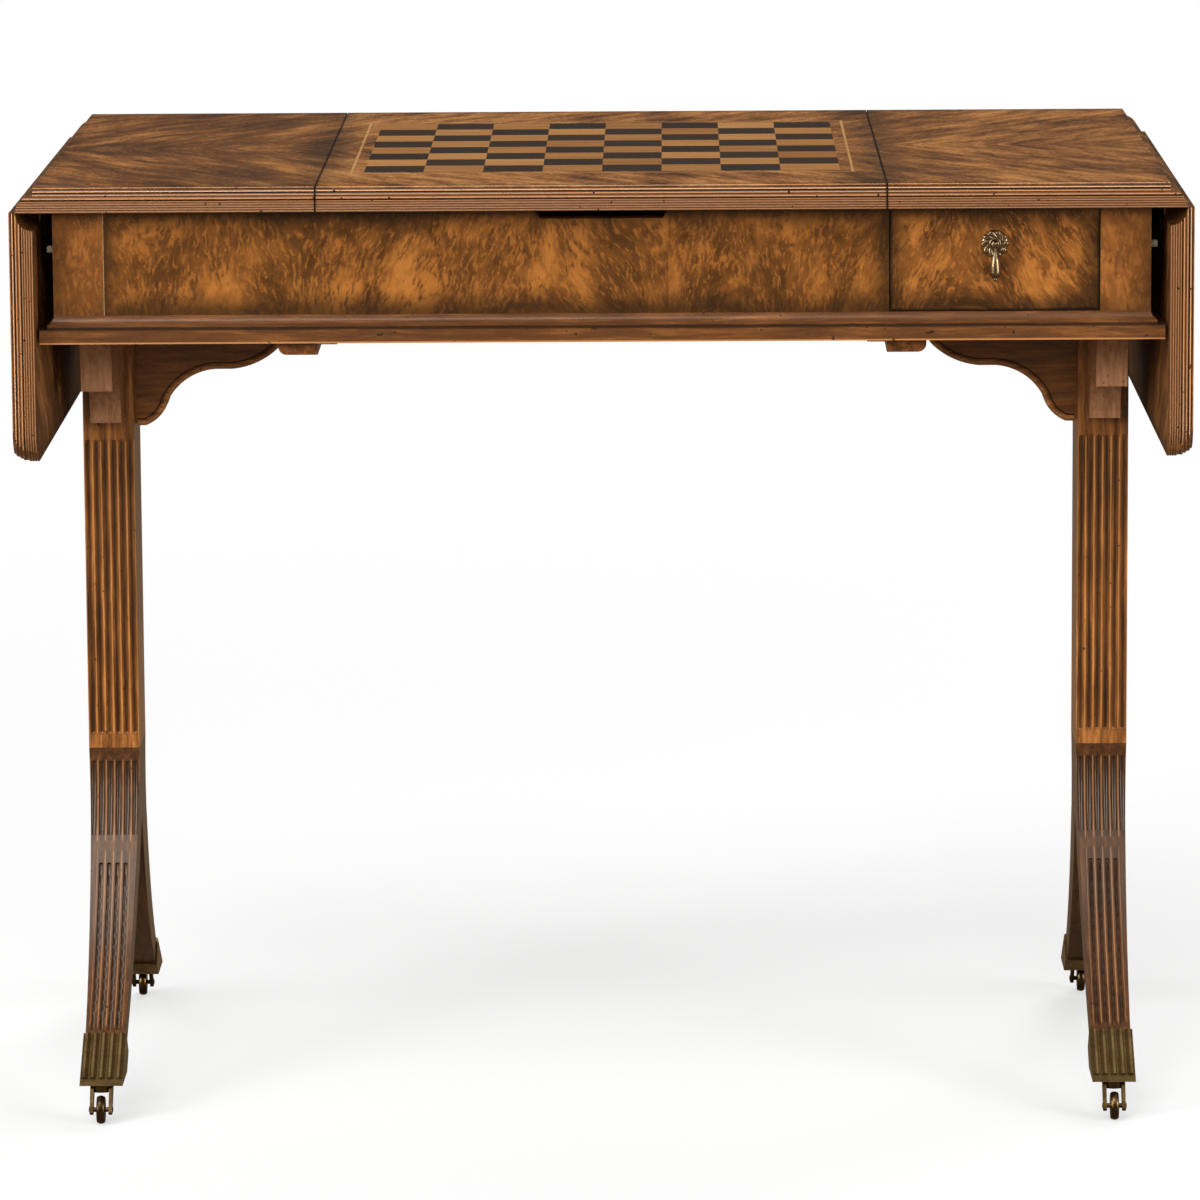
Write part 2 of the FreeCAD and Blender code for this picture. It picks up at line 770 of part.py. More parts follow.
def case():
    """Return the frieze, posts, floor, well and mouldings of the case."""
    frieze = (FRIEZE_FOOT, TOP_UNDER)
    back = fascia("back_fascia", False)
    post = block("post_right_front", (POST_INSIDE_X, HALF_CASE), (-CASE_FRONT, -POST_INSIDE_Y), frieze)
    wall = block("well_wall_right", (WELL_INSIDE, WELL_SIDE), both_ways(CASE_INSIDE), (FLOOR_TOP, TOP_UNDER))
    walls = [wall, mirrored("well_wall_left", wall, ACROSS_X)]
    well_floor = (WELL_FLOOR_TOP - S.well_floor_thick, WELL_FLOOR_TOP)
    return end_rails() + [
        fascia("front_panel", True),
        turned("back_panel", back),
        group("corner_posts", four_corners("post_{}_{}", post)),
        block("case_floor", both_ways(END_INSIDE), both_ways(CASE_INSIDE), (CASE_FOOT, FLOOR_TOP)),
        group("well_walls", walls),
        block("well_floor", both_ways(WELL_INSIDE), both_ways(CASE_INSIDE), well_floor),
        base_mouldings(),
    ]


def backgammon_points():
    """Return the inlaid points of the backgammon well, six each side of the bar, in two shades."""
    shades = {"light": [], "dark": []}
    half = S.point_width / 2
    base = S.point_margin - CASE_INSIDE
    for number in range(POINT_COUNT * 2):
        shade = "light" if number % 2 == 0 else "dark"
        side = -1 if number < POINT_COUNT else 1
        step = number if number < POINT_COUNT else POINT_COUNT * 2 - 1 - number
        middle = (WELL_INSIDE - half - S.point_width * step) * side
        point = doc.addObject("Part::Wedge", "{}_point_{}".format(shade, number))
        faces = {"Xmin": middle - half, "Xmax": middle + half, "X2min": middle, "X2max": middle,
                 "Ymin": base, "Ymax": base + S.point_length}
        for path in ("Zmin", "Z2min"):
            faces[path] = WELL_FLOOR_TOP
        for path in ("Zmax", "Z2max"):
            faces[path] = WELL_FLOOR_TOP + S.inlay_thick
        for path, size in faces.items():
            bind(point, path, size)
        shades[shade].append(point)
    nodes = []
    for shade, points in shades.items():
        near = group("near_{}_points".format(shade), points)
        nodes.append(group("backgammon_{}_points".format(shade), [near, turned("far_{}_points".format(shade), near)]))
    return nodes


# drawers and their pulls

DRAWER_LEFT = WELL_SIDE + S.drawer_gap
DRAWER_RIGHT = POST_INSIDE_X - S.drawer_gap
DRAWER_FOOT = FRIEZE_FOOT + S.drawer_gap
DRAWER_INSIDE_Y = S.drawer_front_thick - CASE_FRONT
DRAWER_END = DRAWER_INSIDE_Y + S.drawer_length


def drawer():
    """Return the front, carcass and bottom of the front drawer."""
    board = S.drawer_board_thick
    inside = (DRAWER_LEFT + board, DRAWER_RIGHT - board)
    side_top = DRAWER_FOOT + S.drawer_side_height
    bottom = DRAWER_FOOT + S.drawer_bottom_rise
    run = (DRAWER_INSIDE_Y, DRAWER_END)
    side_level = (DRAWER_FOOT, side_top)
    front = block("front_drawer_front", (DRAWER_LEFT, DRAWER_RIGHT), (-CASE_FRONT, DRAWER_INSIDE_Y),
                  (DRAWER_FOOT, TOP_UNDER - S.drawer_gap))
    sides = [block("drawer_side_left", (DRAWER_LEFT, inside[0]), run, side_level),
             block("drawer_side_right", (inside[1], DRAWER_RIGHT), run, side_level)]
    back = block("drawer_back", inside, (DRAWER_END - board, DRAWER_END), (bottom, side_top))
    base = block("front_drawer_bottom", inside, (DRAWER_INSIDE_Y, DRAWER_END - board),
                 (bottom, bottom + S.drawer_bottom_thick))
    return [front, group("front_drawer_carcass", sides + [back]), base]


def drawer_runners():
    """Return the runners and guides that carry the two drawers on the case floor."""
    level = (FLOOR_TOP, DRAWER_FOOT - S.touch_gap)
    run = (-CASE_INSIDE, DRAWER_END)
    front = group("runners_front", [
        block("runner_left", (DRAWER_LEFT, DRAWER_LEFT + S.runner_width), run, level),
        block("runner_right", (DRAWER_RIGHT - S.runner_width, DRAWER_RIGHT), run, level),
        block("drawer_guide", (POST_INSIDE_X, END_INSIDE), (-POST_INSIDE_Y, DRAWER_END),
              (FLOOR_TOP, FRIEZE_FOOT + S.guide_height)),
    ])
    return group("drawer_runners", [front, turned("runners_back", front)])


PULL_X = (DRAWER_LEFT + DRAWER_RIGHT) / 2
PULL_Z = TOP_UNDER - S.pull_drop_below_top
PULL_PIN_Y = S.pull_pin_setback - S.pull_post_reach - CASE_FRONT


def rosette():
    """Return the pull's fixed brass: domed rosette, slotted post and cross pin."""
    post_radius = S.pull_post_radius
    dome = [(post_radius, ZERO), (S.rosette_radius, ZERO), (S.rosette_radius, S.rosette_rim, S.rosette_curve, LEFT),
            (post_radius, S.rosette_dome)]
    plate = turning("rosette_plate", dome)
    plate.Placement.Rotation = FreeCAD.Rotation(FreeCAD.Vector(1, 0, 0), 90)
    place(plate, PULL_X, -CASE_FRONT, PULL_Z)
    face = -CASE_FRONT - S.pull_post_reach
    shank = rod("pull_shank", post_radius, (PULL_X, face, PULL_Z), S.pull_post_reach, "Y")
    slot_deep = (face - S.overrun, PULL_PIN_Y + S.tongue_radius + S.fit_gap)
    slot = block("pull_slot", around(PULL_X, S.pull_slot / 2), slot_deep, around(PULL_Z, post_radius + S.overrun))
    hole = rod("pull_pin_hole", S.pull_pin_radius, (PULL_X - post_radius - S.overrun, PULL_PIN_Y, PULL_Z),
               (post_radius + S.overrun) * 2, "X")
    slotted = cut("pull_shank_slotted", shank, slot)
    half_pin = S.pull_pin_half
    pin = rod("pull_pin", S.pull_pin_radius, (PULL_X - half_pin, PULL_PIN_Y, PULL_Z), half_pin * 2, "X")
    return group("front_pull_rosette", [plate, cut("pull_post", slotted, hole), pin])


def pull_drop():
    """Return the pendant of the pull: an eye on the pin, a neck, a pear and a small ball at its foot."""
    eye = rod("drop_eye", S.tongue_radius, (PULL_X - S.tongue_thick / 2, PULL_PIN_Y, PULL_Z), S.tongue_thick, "X")
    neck_high = S.drop_shoulder
    neck = rod("drop_neck_rod", S.drop_neck, (PULL_X, PULL_PIN_Y, PULL_Z - neck_high - S.drop_neck),
               neck_high + S.drop_neck)
    foot = S.finial_radius * 2 - S.finial_sink - S.drop_length
    widest = foot + S.drop_belly
    pear = [(ZERO, foot), (S.drop_neck, foot, S.drop_foot_radius, LEFT),
            (S.drop_radius, widest, S.drop_flank_radius, LEFT), (S.drop_neck, -neck_high), (ZERO, -neck_high)]
    belly = turning("drop_pear", pear)
    place(belly, PULL_X, PULL_PIN_Y, PULL_Z)
    finial = ball("drop_finial", S.finial_radius, (PULL_X, PULL_PIN_Y, PULL_Z - S.drop_length + S.finial_radius))
    solid = fuse("pull_drop_solid", [eye, neck, belly, finial])
    bore = rod("drop_bore", S.pull_pin_radius + S.pin_clearance,
               (PULL_X - S.tongue_thick, PULL_PIN_Y, PULL_Z), S.tongue_thick * 2, "X")
    return cut("front_pull_drop", solid, bore)


def drawers():
    """Return both drawers: the front one and the same turned round at the back."""
    front = drawer() + [rosette(), pull_drop()]
    return front + [turned(piece.Name.replace("front", "back", 1), piece) for piece in front]


# leaf supports

def lopers():
    """Return the four sliding lopers that hold the raised leaves, their guides and the leaf buffers."""
    level = loper_level()
    middle = -S.loper_spacing / 2
    loper = block("loper_right_front", (WELL_SIDE + S.loper_end_room, HALF_CASE),
                  around(middle, S.loper_width / 2), level)
    guide_x = (HALF_CASE - S.guide_inset - S.guide_length, HALF_CASE - S.guide_inset)
    inner = S.loper_width / 2 + S.fit_gap
    floor = level[0] - S.fit_gap
    outside = block("guide_outside", guide_x, around(middle, inner + S.guide_wall), (floor - S.guide_floor, TOP_UNDER))
    channel = block("guide_channel", (guide_x[0] - S.overrun, guide_x[1] + S.overrun), around(middle, inner),
                    (floor, TOP_UNDER + S.overrun))
    guide = cut("loper_guide_right_front", outside, channel)
    buffer_spot = (HALF_CASE, S.buffer_inset - CASE_FRONT, TOP_UNDER - S.buffer_below_top)
    button = rod("buffer_right_front", S.buffer_radius, buffer_spot, S.buffer_reach, "X")
    return four_corners("loper_{}_{}", loper) + [
        group("loper_guides", four_corners("loper_guide_{}_{}", guide)),
        group("leaf_buffers", four_corners("buffer_{}_{}", button)),
    ]


# pillars, corbels and brackets

PILLAR_FACE = S.pillar_depth / 2
PILLAR_SIDE = HALF_CASE - S.pillar_inset - S.pillar_width
PILLAR_X = PILLAR_SIDE + S.pillar_width / 2
FLUTE_LOW = S.pillar_foot + S.flute_foot_rise
FLUTE_HIGH = CASE_FOOT - S.flute_head_drop


def row_places(count, pitch):
    """Return evenly spaced places across the right pillar, centred on it."""
    return [PILLAR_X + pitch * (number - (count - 1) / 2) for number in range(count)]


def flute(name, x, y):
    """Return the round-ended cut of one upright flute."""
    low, high = (x, y, FLUTE_LOW), (x, y, FLUTE_HIGH)
    shaft = rod(name + "_shaft", S.flute_radius, low, FLUTE_HIGH - FLUTE_LOW)
    ends = [ball(name + "_foot", S.flute_radius, low), ball(name + "_head", S.flute_radius, high)]
    return fuse(name, [shaft] + ends)


def pillars():
    """Return the two fluted pillars."""
    shaft = block("pillar_shaft", around(PILLAR_X, S.pillar_width / 2), both_ways(PILLAR_FACE),
                  (S.pillar_foot, CASE_FOOT))
    flutes = []
    for number, x in enumerate(row_places(FLUTE_COUNT, S.flute_pitch)):
        flutes += [flute("flute_front_{}".format(number), x, -PILLAR_FACE),
                   flute("flute_back_{}".format(number), x, PILLAR_FACE)]
    right = cut("pillar_right", shaft, group("pillar_flutes", flutes))
    return [right, mirrored("pillar_left", right, ACROSS_X)]


def corbels():
    """Return the four stepped corbels between the pillars and the case."""
    face = -PILLAR_FACE
    foot = CASE_FOOT - S.corbel_height
    step_high = CASE_FOOT - S.corbel_step_drop
    step_low = step_high - S.corbel_step_height
    corners = [
        (face, CASE_FOOT),
        (face - S.corbel_top_reach, CASE_FOOT),
        (face - S.corbel_top_reach, CASE_FOOT - S.corbel_lip, S.corbel_upper_radius, RIGHT),
        (face - S.corbel_step_out, step_high),
        (face - S.corbel_step_out, step_low),
        (face - S.corbel_step_in, step_low, S.corbel_lower_radius, RIGHT),
        (face - S.corbel_toe_reach, foot + S.corbel_lip),
        (face - S.corbel_toe_reach, foot),
        (face, foot),
    ]
    half = S.corbel_width / 2
    corbel = prism("corbel_right_front", "YZ", corners, PILLAR_X - half, PILLAR_X + half)
    return group("corbels", four_corners("corbel_{}_{}", corbel))


def brackets():
    """Return the two spandrel brackets on the inner sides of the pillars."""
    face = PILLAR_SIDE
    flat = CASE_FOOT - S.bracket_flat_drop
    foot = CASE_FOOT - S.bracket_height
    corners = [
        (face, CASE_FOOT),
        (face - S.bracket_length, CASE_FOOT),
        (face - S.bracket_length, CASE_FOOT - S.bracket_toe_drop, S.bracket_toe_radius, LEFT),
        (face - S.bracket_flat_out, flat),
        (face - S.bracket_flat_in, flat, S.bracket_belly_radius, RIGHT),
        (face - S.bracket_nose_out, CASE_FOOT - S.bracket_nose_drop, S.bracket_nose_radius, LEFT),
        (face - S.bracket_nose_in, foot),
        (face, foot),
    ]
    half = S.bracket_thick / 2
    right = prism("bracket_right", "XZ", corners, -half, half)
    return group("spandrel_brackets", [right, mirrored("bracket_left", right, ACROSS_X)])


def battens():
    """Return the cross battens under the case floor and the brass plates beside them."""
    low, high = CASE_FOOT - S.batten_height, CASE_FOOT
    outer = PILLAR_SIDE - S.bracket_length - S.batten_gap
    inner = outer - S.batten_width
    corners = [(inner, low), (outer - S.batten_corner, low, S.batten_corner, LEFT),
               (outer, low + S.batten_corner), (outer, high), (inner, high)]
    reach = CASE_FRONT - S.batten_inset
    right = prism("batten_right", "XZ", corners, -reach, reach)
    plate = block("plate_right_front", (inner - S.plate_width, inner), (-reach, S.plate_length - reach),
                  (CASE_FOOT - S.plate_thick, CASE_FOOT))
    return [
        group("cross_battens", [right, mirrored("batten_left", right, ACROSS_X)]),
        group("batten_plates", four_corners("plate_{}_{}", plate)),
    ]


# sabre legs

KNEE = (-S.leg_knee_y, S.leg_knee_z)
ANKLE = (-S.leg_ankle_y, S.leg_ankle_z)


def curved_cut(name, x, start, end, arc_radius, cut_radius, shares):
    """Return a round cut that follows one arc of the leg's face, between two shares of its sweep."""
    ends = [FreeCAD.Vector(spot[0].value, spot[1].value, 0) for spot in (start, end)]
    arc = arc_edge(*ends, arc_radius.value, RIGHT)
    sweep = arc.LastParameter - arc.FirstParameter
    first, last = (arc.LastParameter - share * sweep for share in reversed(shares))
    ring = doc.addObject("Part::Torus", name)
    bind(ring, "Radius1", arc_radius)
    bind(ring, "Radius2", cut_radius)
    ring.Angle3 = math.degrees(last - first)
    outward = FreeCAD.Vector(0, math.cos(first), math.sin(first))
    axis = FreeCAD.Vector(1, 0, 0)
    turn = FreeCAD.Rotation(outward, axis.cross(outward), axis, "ZXY")
    ring.Placement = FreeCAD.Placement(FreeCAD.Vector(x.value, arc.Center.x, arc.Center.y), turn)
    return ring


def leg():
    """Return the right front sabre leg, fluted above the knee and reeded below it."""
    hip = (-PILLAR_FACE, S.pillar_foot)
    corners = [
        (ZERO, S.pillar_foot),
        hip + (S.leg_upper_radius, RIGHT),
        KNEE + (S.leg_lower_radius, RIGHT),
        ANKLE,
        (-S.leg_toe_y, S.leg_sole_z),
        (-S.leg_heel_y, S.leg_sole_z),
        (-S.leg_hock_y, S.leg_hock_z, S.leg_inner_radius, LEFT),
        (ZERO, S.leg_crotch_z),
    ]
    middle = PILLAR_X
    wide = S.leg_top_half_width + S.overrun
    side = prism("leg_side", "YZ", corners, middle - wide, middle + wide)
    top, foot = S.leg_top_half_width, S.leg_foot_half_width
    taper = [(middle - foot, S.leg_sole_z), (middle + foot, S.leg_sole_z),
             (middle + top, S.pillar_foot), (middle - top, S.pillar_foot)]
    front = prism("leg_front", "XZ", taper, -S.leg_toe_y - S.overrun, S.overrun)
    cuts = [curved_cut("leg_flute_{}".format(number), x, hip, KNEE, S.leg_upper_radius,
                       S.leg_flute_radius, FLUTE_SHARES)
            for number, x in enumerate(row_places(FLUTE_COUNT, S.flute_pitch))]
    cuts += [curved_cut("leg_groove_{}".format(number), x, KNEE, ANKLE, S.leg_lower_radius,
                        S.leg_groove_radius, GROOVE_SHARES)
             for number, x in enumerate(row_places(LEG_GROOVE_COUNT, S.leg_reed_pitch))]
    return cut("leg_right_front", common("leg_shaped", side, front), group("leg_cuts", cuts))


CAP_FOOT = S.leg_sole_z - S.cap_sole


def cap(wood):
    """Return the lobed brass cap over the foot of a leg, bored for the caster's swivel pin."""
    wall = S.cap_wall
    crown = (-S.leg_ankle_y - wall / 2, S.leg_ankle_z + wall)
    toe = (-S.cap_toe_y, CAP_FOOT)
    corners = [crown, toe, (-S.cap_heel_y, CAP_FOOT), (wall / 2 - S.leg_hock_y, S.leg_hock_z - wall)]
    half = S.leg_foot_half_width + wall
    middle = PILLAR_X
    shell = prism("cap_shell", "YZ", corners, middle - half, middle + half)
    low, high = (FreeCAD.Vector(0, spot[0].value, spot[1].value) for spot in (toe, crown))
    slope = high - low
    inward = FreeCAD.Vector(1, 0, 0).cross(slope).normalize() * -1
    lobes = []
    for number, x in enumerate(row_places(CAP_LOBE_COUNT, S.cap_lobe_pitch)):
        lobe = doc.addObject("Part::Cylinder", "cap_lobe_{}".format(number))
        bind(lobe, "Radius", S.cap_lobe_radius)
        lobe.Height = slope.Length * (LOBE_SHARES[1] - LOBE_SHARES[0])
        start = low + slope * LOBE_SHARES[0] + inward * S.cap_lobe_sink.value
        turn = FreeCAD.Rotation(FreeCAD.Vector(0, 0, 1), slope)
        lobe.Placement = FreeCAD.Placement(start + FreeCAD.Vector(x.value, 0, 0), turn)
        lobes.append(lobe)
    solid = fuse("cap_solid", [shell] + lobes)
    hollow = cut("cap_hollow", solid, wood)
    bore = rod("cap_bore", S.swivel_pin_radius + S.pin_clearance,
               (middle, -S.swivel_y, CAP_FOOT - S.overrun), S.overrun + S.cap_sole)
    return cut("cap_right_front", hollow, bore)


def fork():
    """Return the right front caster's fork, with its swivel pin, and the axle through its cheeks."""
    middle = PILLAR_X
    axle_y = -S.swivel_y - S.trail
    axle_z = S.wheel_radius
    plate_top = CAP_FOOT - S.touch_gap
    plate_low = plate_top - S.fork_plate_thick
    swivel = (middle, -S.swivel_y, plate_low)
    pin_reach = S.fork_plate_thick + S.cap_sole
    pieces = [rod("fork_plate", S.fork_plate_radius, swivel, S.fork_plate_thick),
              rod("fork_pin", S.swivel_pin_radius, swivel, pin_reach)]
    inside = S.wheel_width / 2 + S.fork_gap
    outside = inside + S.fork_cheek
    half = S.fork_cheek_width / 2
    eye = S.fork_eye_radius
    cheek = [(axle_y - eye, axle_z), (axle_y + eye, axle_z),
             (half - S.swivel_y, plate_top - S.fork_plate_thick / 2),
             (-half - S.swivel_y, plate_top - S.fork_plate_thick / 2)]
    for name, low in (("left", middle - outside), ("right", middle + inside)):
        pieces.append(prism("cheek_" + name, "YZ", cheek, low, low + S.fork_cheek))
        pieces.append(rod("eye_" + name, eye, (low, axle_y, axle_z), S.fork_cheek, "X"))
    start = (middle - outside, axle_y, axle_z)
    solid = fuse("fork_solid", pieces)
    bore = rod("axle_bore", S.axle_radius, (middle - outside - S.overrun, axle_y, axle_z),
               (outside + S.overrun) * 2, "X")
    axle = rod("axle", S.axle_radius, start, outside * 2, "X")
    return group("caster_fork_right_front", [cut("fork", solid, bore), axle])


def wheel():
    """Return the right front caster's crowned wheel."""
    half = S.wheel_width / 2
    shoulder = S.wheel_radius - S.wheel_crown
    crown_radius = (half * half + S.wheel_crown * S.wheel_crown) / (S.wheel_crown * 2)
    bore = S.axle_radius + S.pin_clearance
    section = [(bore, -half), (shoulder, -half, crown_radius, LEFT), (shoulder, half), (bore, half)]
    tyre = turning("caster_wheel_right_front", section)
    tyre.Placement.Rotation = TURNS["X"]
    place(tyre, PILLAR_X, -S.swivel_y - S.trail, S.wheel_radius)
    return tyre


def feet():
    """Return the legs, caps, caster forks and wheels of all four feet."""
    wood = leg()
    nodes = []
    for name, piece in (("leg", wood), ("cap", cap(wood)), ("caster_fork", fork()), ("caster_wheel", wheel())):
        nodes.append(four_corners(name + "_{}_{}", piece))
    legs, caps, forks, wheels = nodes
    return legs + [group("caster_caps", caps)] + forks + wheels


# assembly

def write_parts(nodes):
    """Check every feature and shape, then write one STEP file for each node."""
    doc.recompute()
    failed = [feature.Name for feature in doc.Objects if {"Invalid", "Error"} & set(feature.State)]
    failed += [node.Name for node in nodes if node.Shape.isNull() or not node.Shape.isValid()]
    if failed:
        raise RuntimeError("failed features: " + ", ".join(failed))
    os.makedirs("parts", exist_ok=True)
    for node in nodes:
        node.Shape.exportStep("parts/{}.step".format(node.Label))
        print(node.Label, len(node.Shape.Solids), round(node.Shape.Volume))


def main():
    """Build the table and write its parts."""
    nodes = [game_panel(), stringing("board_stringing", S.height)] + chess_squares() + end_tops()
    nodes += leaves() + hinges() + case() + backgammon_points() + drawers() + lopers()
    nodes += [drawer_runners(), corbels(), brackets()] + pillars() + battens() + feet()
    write_parts(nodes)
    print(len(nodes), "nodes")


main()
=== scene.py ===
"""Dress the games table: figured veneer, reeded mahogany, antique brass and small fittings."""
from __future__ import annotations

import logging
import math
from dataclasses import dataclass
from enum import Enum
from functools import reduce
from typing import Any, Callable, Dict, Iterable, List, Optional, Protocol, Sequence, Tuple

import bmesh
import bpy
from mathutils import Matrix, Vector

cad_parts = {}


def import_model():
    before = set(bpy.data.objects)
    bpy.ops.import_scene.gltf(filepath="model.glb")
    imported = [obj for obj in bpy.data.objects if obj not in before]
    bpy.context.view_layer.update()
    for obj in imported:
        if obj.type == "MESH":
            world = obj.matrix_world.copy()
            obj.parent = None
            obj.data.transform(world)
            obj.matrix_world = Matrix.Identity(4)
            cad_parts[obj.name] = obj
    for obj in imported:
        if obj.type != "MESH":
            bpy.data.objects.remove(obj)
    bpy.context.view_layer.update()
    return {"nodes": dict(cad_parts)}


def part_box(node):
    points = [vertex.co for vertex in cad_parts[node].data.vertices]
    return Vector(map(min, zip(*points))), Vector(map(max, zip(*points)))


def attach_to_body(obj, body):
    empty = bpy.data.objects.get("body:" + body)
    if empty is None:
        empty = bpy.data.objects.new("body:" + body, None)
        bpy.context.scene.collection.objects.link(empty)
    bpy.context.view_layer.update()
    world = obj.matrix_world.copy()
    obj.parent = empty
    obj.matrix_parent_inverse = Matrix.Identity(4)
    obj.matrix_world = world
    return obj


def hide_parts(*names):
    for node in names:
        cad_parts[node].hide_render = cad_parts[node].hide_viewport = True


LOG = logging.getLogger("games_table")
MM = 0.001
SEED = 7
ABOVE_TABLE = 2.0
SIDES = (-1, 1)
CORNERS = ("left_front", "left_back", "right_front", "right_back")
Flat = Tuple[float, float]
Point = Tuple[float, float, float]
Colour = Tuple[float, float, float, float]
Span = Tuple[str, float, float]
Material = bpy.types.Material
Piece = bpy.types.Object
Work = bmesh.types.BMesh


# node graphs

def math_method(operation: str, swapped: bool = False) -> Callable[..., "Link"]:
    """Make a method that adds one Math node.

    Args:
        operation: what the node does.
        swapped: whether the link is the second value, as in a reflected form.
    Returns:
        The method.
    """
    def method(self: "Link", *others: Any) -> "Link":
        """Return the result as a new link."""
        values = (*others, self) if swapped else (self, *others)
        return self.graph.node("ShaderNodeMath", {"operation": operation}, dict(enumerate(values)))
    return method


class Link:
    """One socket of a node graph that takes part in Python sums."""

    __add__ = __radd__ = math_method("ADD")
    __sub__ = math_method("SUBTRACT")
    __rsub__ = math_method("SUBTRACT", swapped=True)
    __mul__ = __rmul__ = math_method("MULTIPLY")
    __truediv__ = math_method("DIVIDE")
    __rtruediv__ = math_method("DIVIDE", swapped=True)
    __pow__ = math_method("POWER")
    __rpow__ = math_method("POWER", swapped=True)
    __abs__ = math_method("ABSOLUTE")
    floor = math_method("FLOOR")
    least = math_method("MINIMUM")
    most = math_method("MAXIMUM")

    def __init__(self, graph: "Graph", node: bpy.types.Node, socket: bpy.types.NodeSocket) -> None:
        """Keep a socket.

        Args:
            graph: the graph that it belongs to.
            node: its node.
            socket: the socket.
        """
        self.graph = graph
        self.node = node
        self.socket = socket

    def out(self, name: str) -> "Link":
        """Return another output of the same node."""
        return Link(self.graph, self.node, self.node.outputs[name])

    def fade(self, low: float, high: float) -> "Link":
        """Return a smooth rise from 0 at low to 1 at high."""
        settings = {"interpolation_type": "SMOOTHSTEP", "clamp": True}
        return self.graph.node("ShaderNodeMapRange", settings,
                               {"Value": self, "From Min": low, "From Max": high})


class Graph:
    """A node tree under construction; every node comes from its node method."""

    def __init__(self, tree: bpy.types.NodeTree) -> None:
        """Keep the tree."""
        self.tree = tree

    def node(self, kind: str, settings: Optional[Dict[str, Any]] = None,
             sockets: Optional[Dict[Any, Any]] = None, out: Any = 0) -> Link:
        """Add one node.

        Args:
            kind: the node's type.
            settings: its properties, set first; "stops" fills a colour ramp.
            sockets: values or links of its inputs, by name or number.
            out: the output that is returned.
        Returns:
            The chosen output.
        """
        made = self.tree.nodes.new(kind)
        for key, value in (settings or {}).items():
            if key == "stops":
                self._fill_ramp(made.color_ramp, value)
            else:
                setattr(made, key, value)
        for key, value in (sockets or {}).items():
            if isinstance(value, Link):
                self.tree.links.new(value.socket, made.inputs[key])
            else:
                made.inputs[key].default_value = value
        return Link(self, made, made.outputs[out] if made.outputs else None)

    def packed(self, x: Any = 0.0, y: Any = 0.0, z: Any = 0.0) -> Link:
        """Return three values as one vector."""
        return self.node("ShaderNodeCombineXYZ", None, {0: x, 1: y, 2: z})

    @staticmethod
    def _fill_ramp(ramp: bpy.types.ColorRamp, stops: Sequence[Tuple[float, Colour]]) -> None:
        """Set the stops of a colour ramp.

        Args:
            ramp: the ramp of a new node.
            stops: each stop's position and colour.
        """
        while len(ramp.elements) < len(stops):
            ramp.elements.new(1.0)
        for element, (position, colour) in zip(ramp.elements, stops):
            element.position = position
            element.color = colour


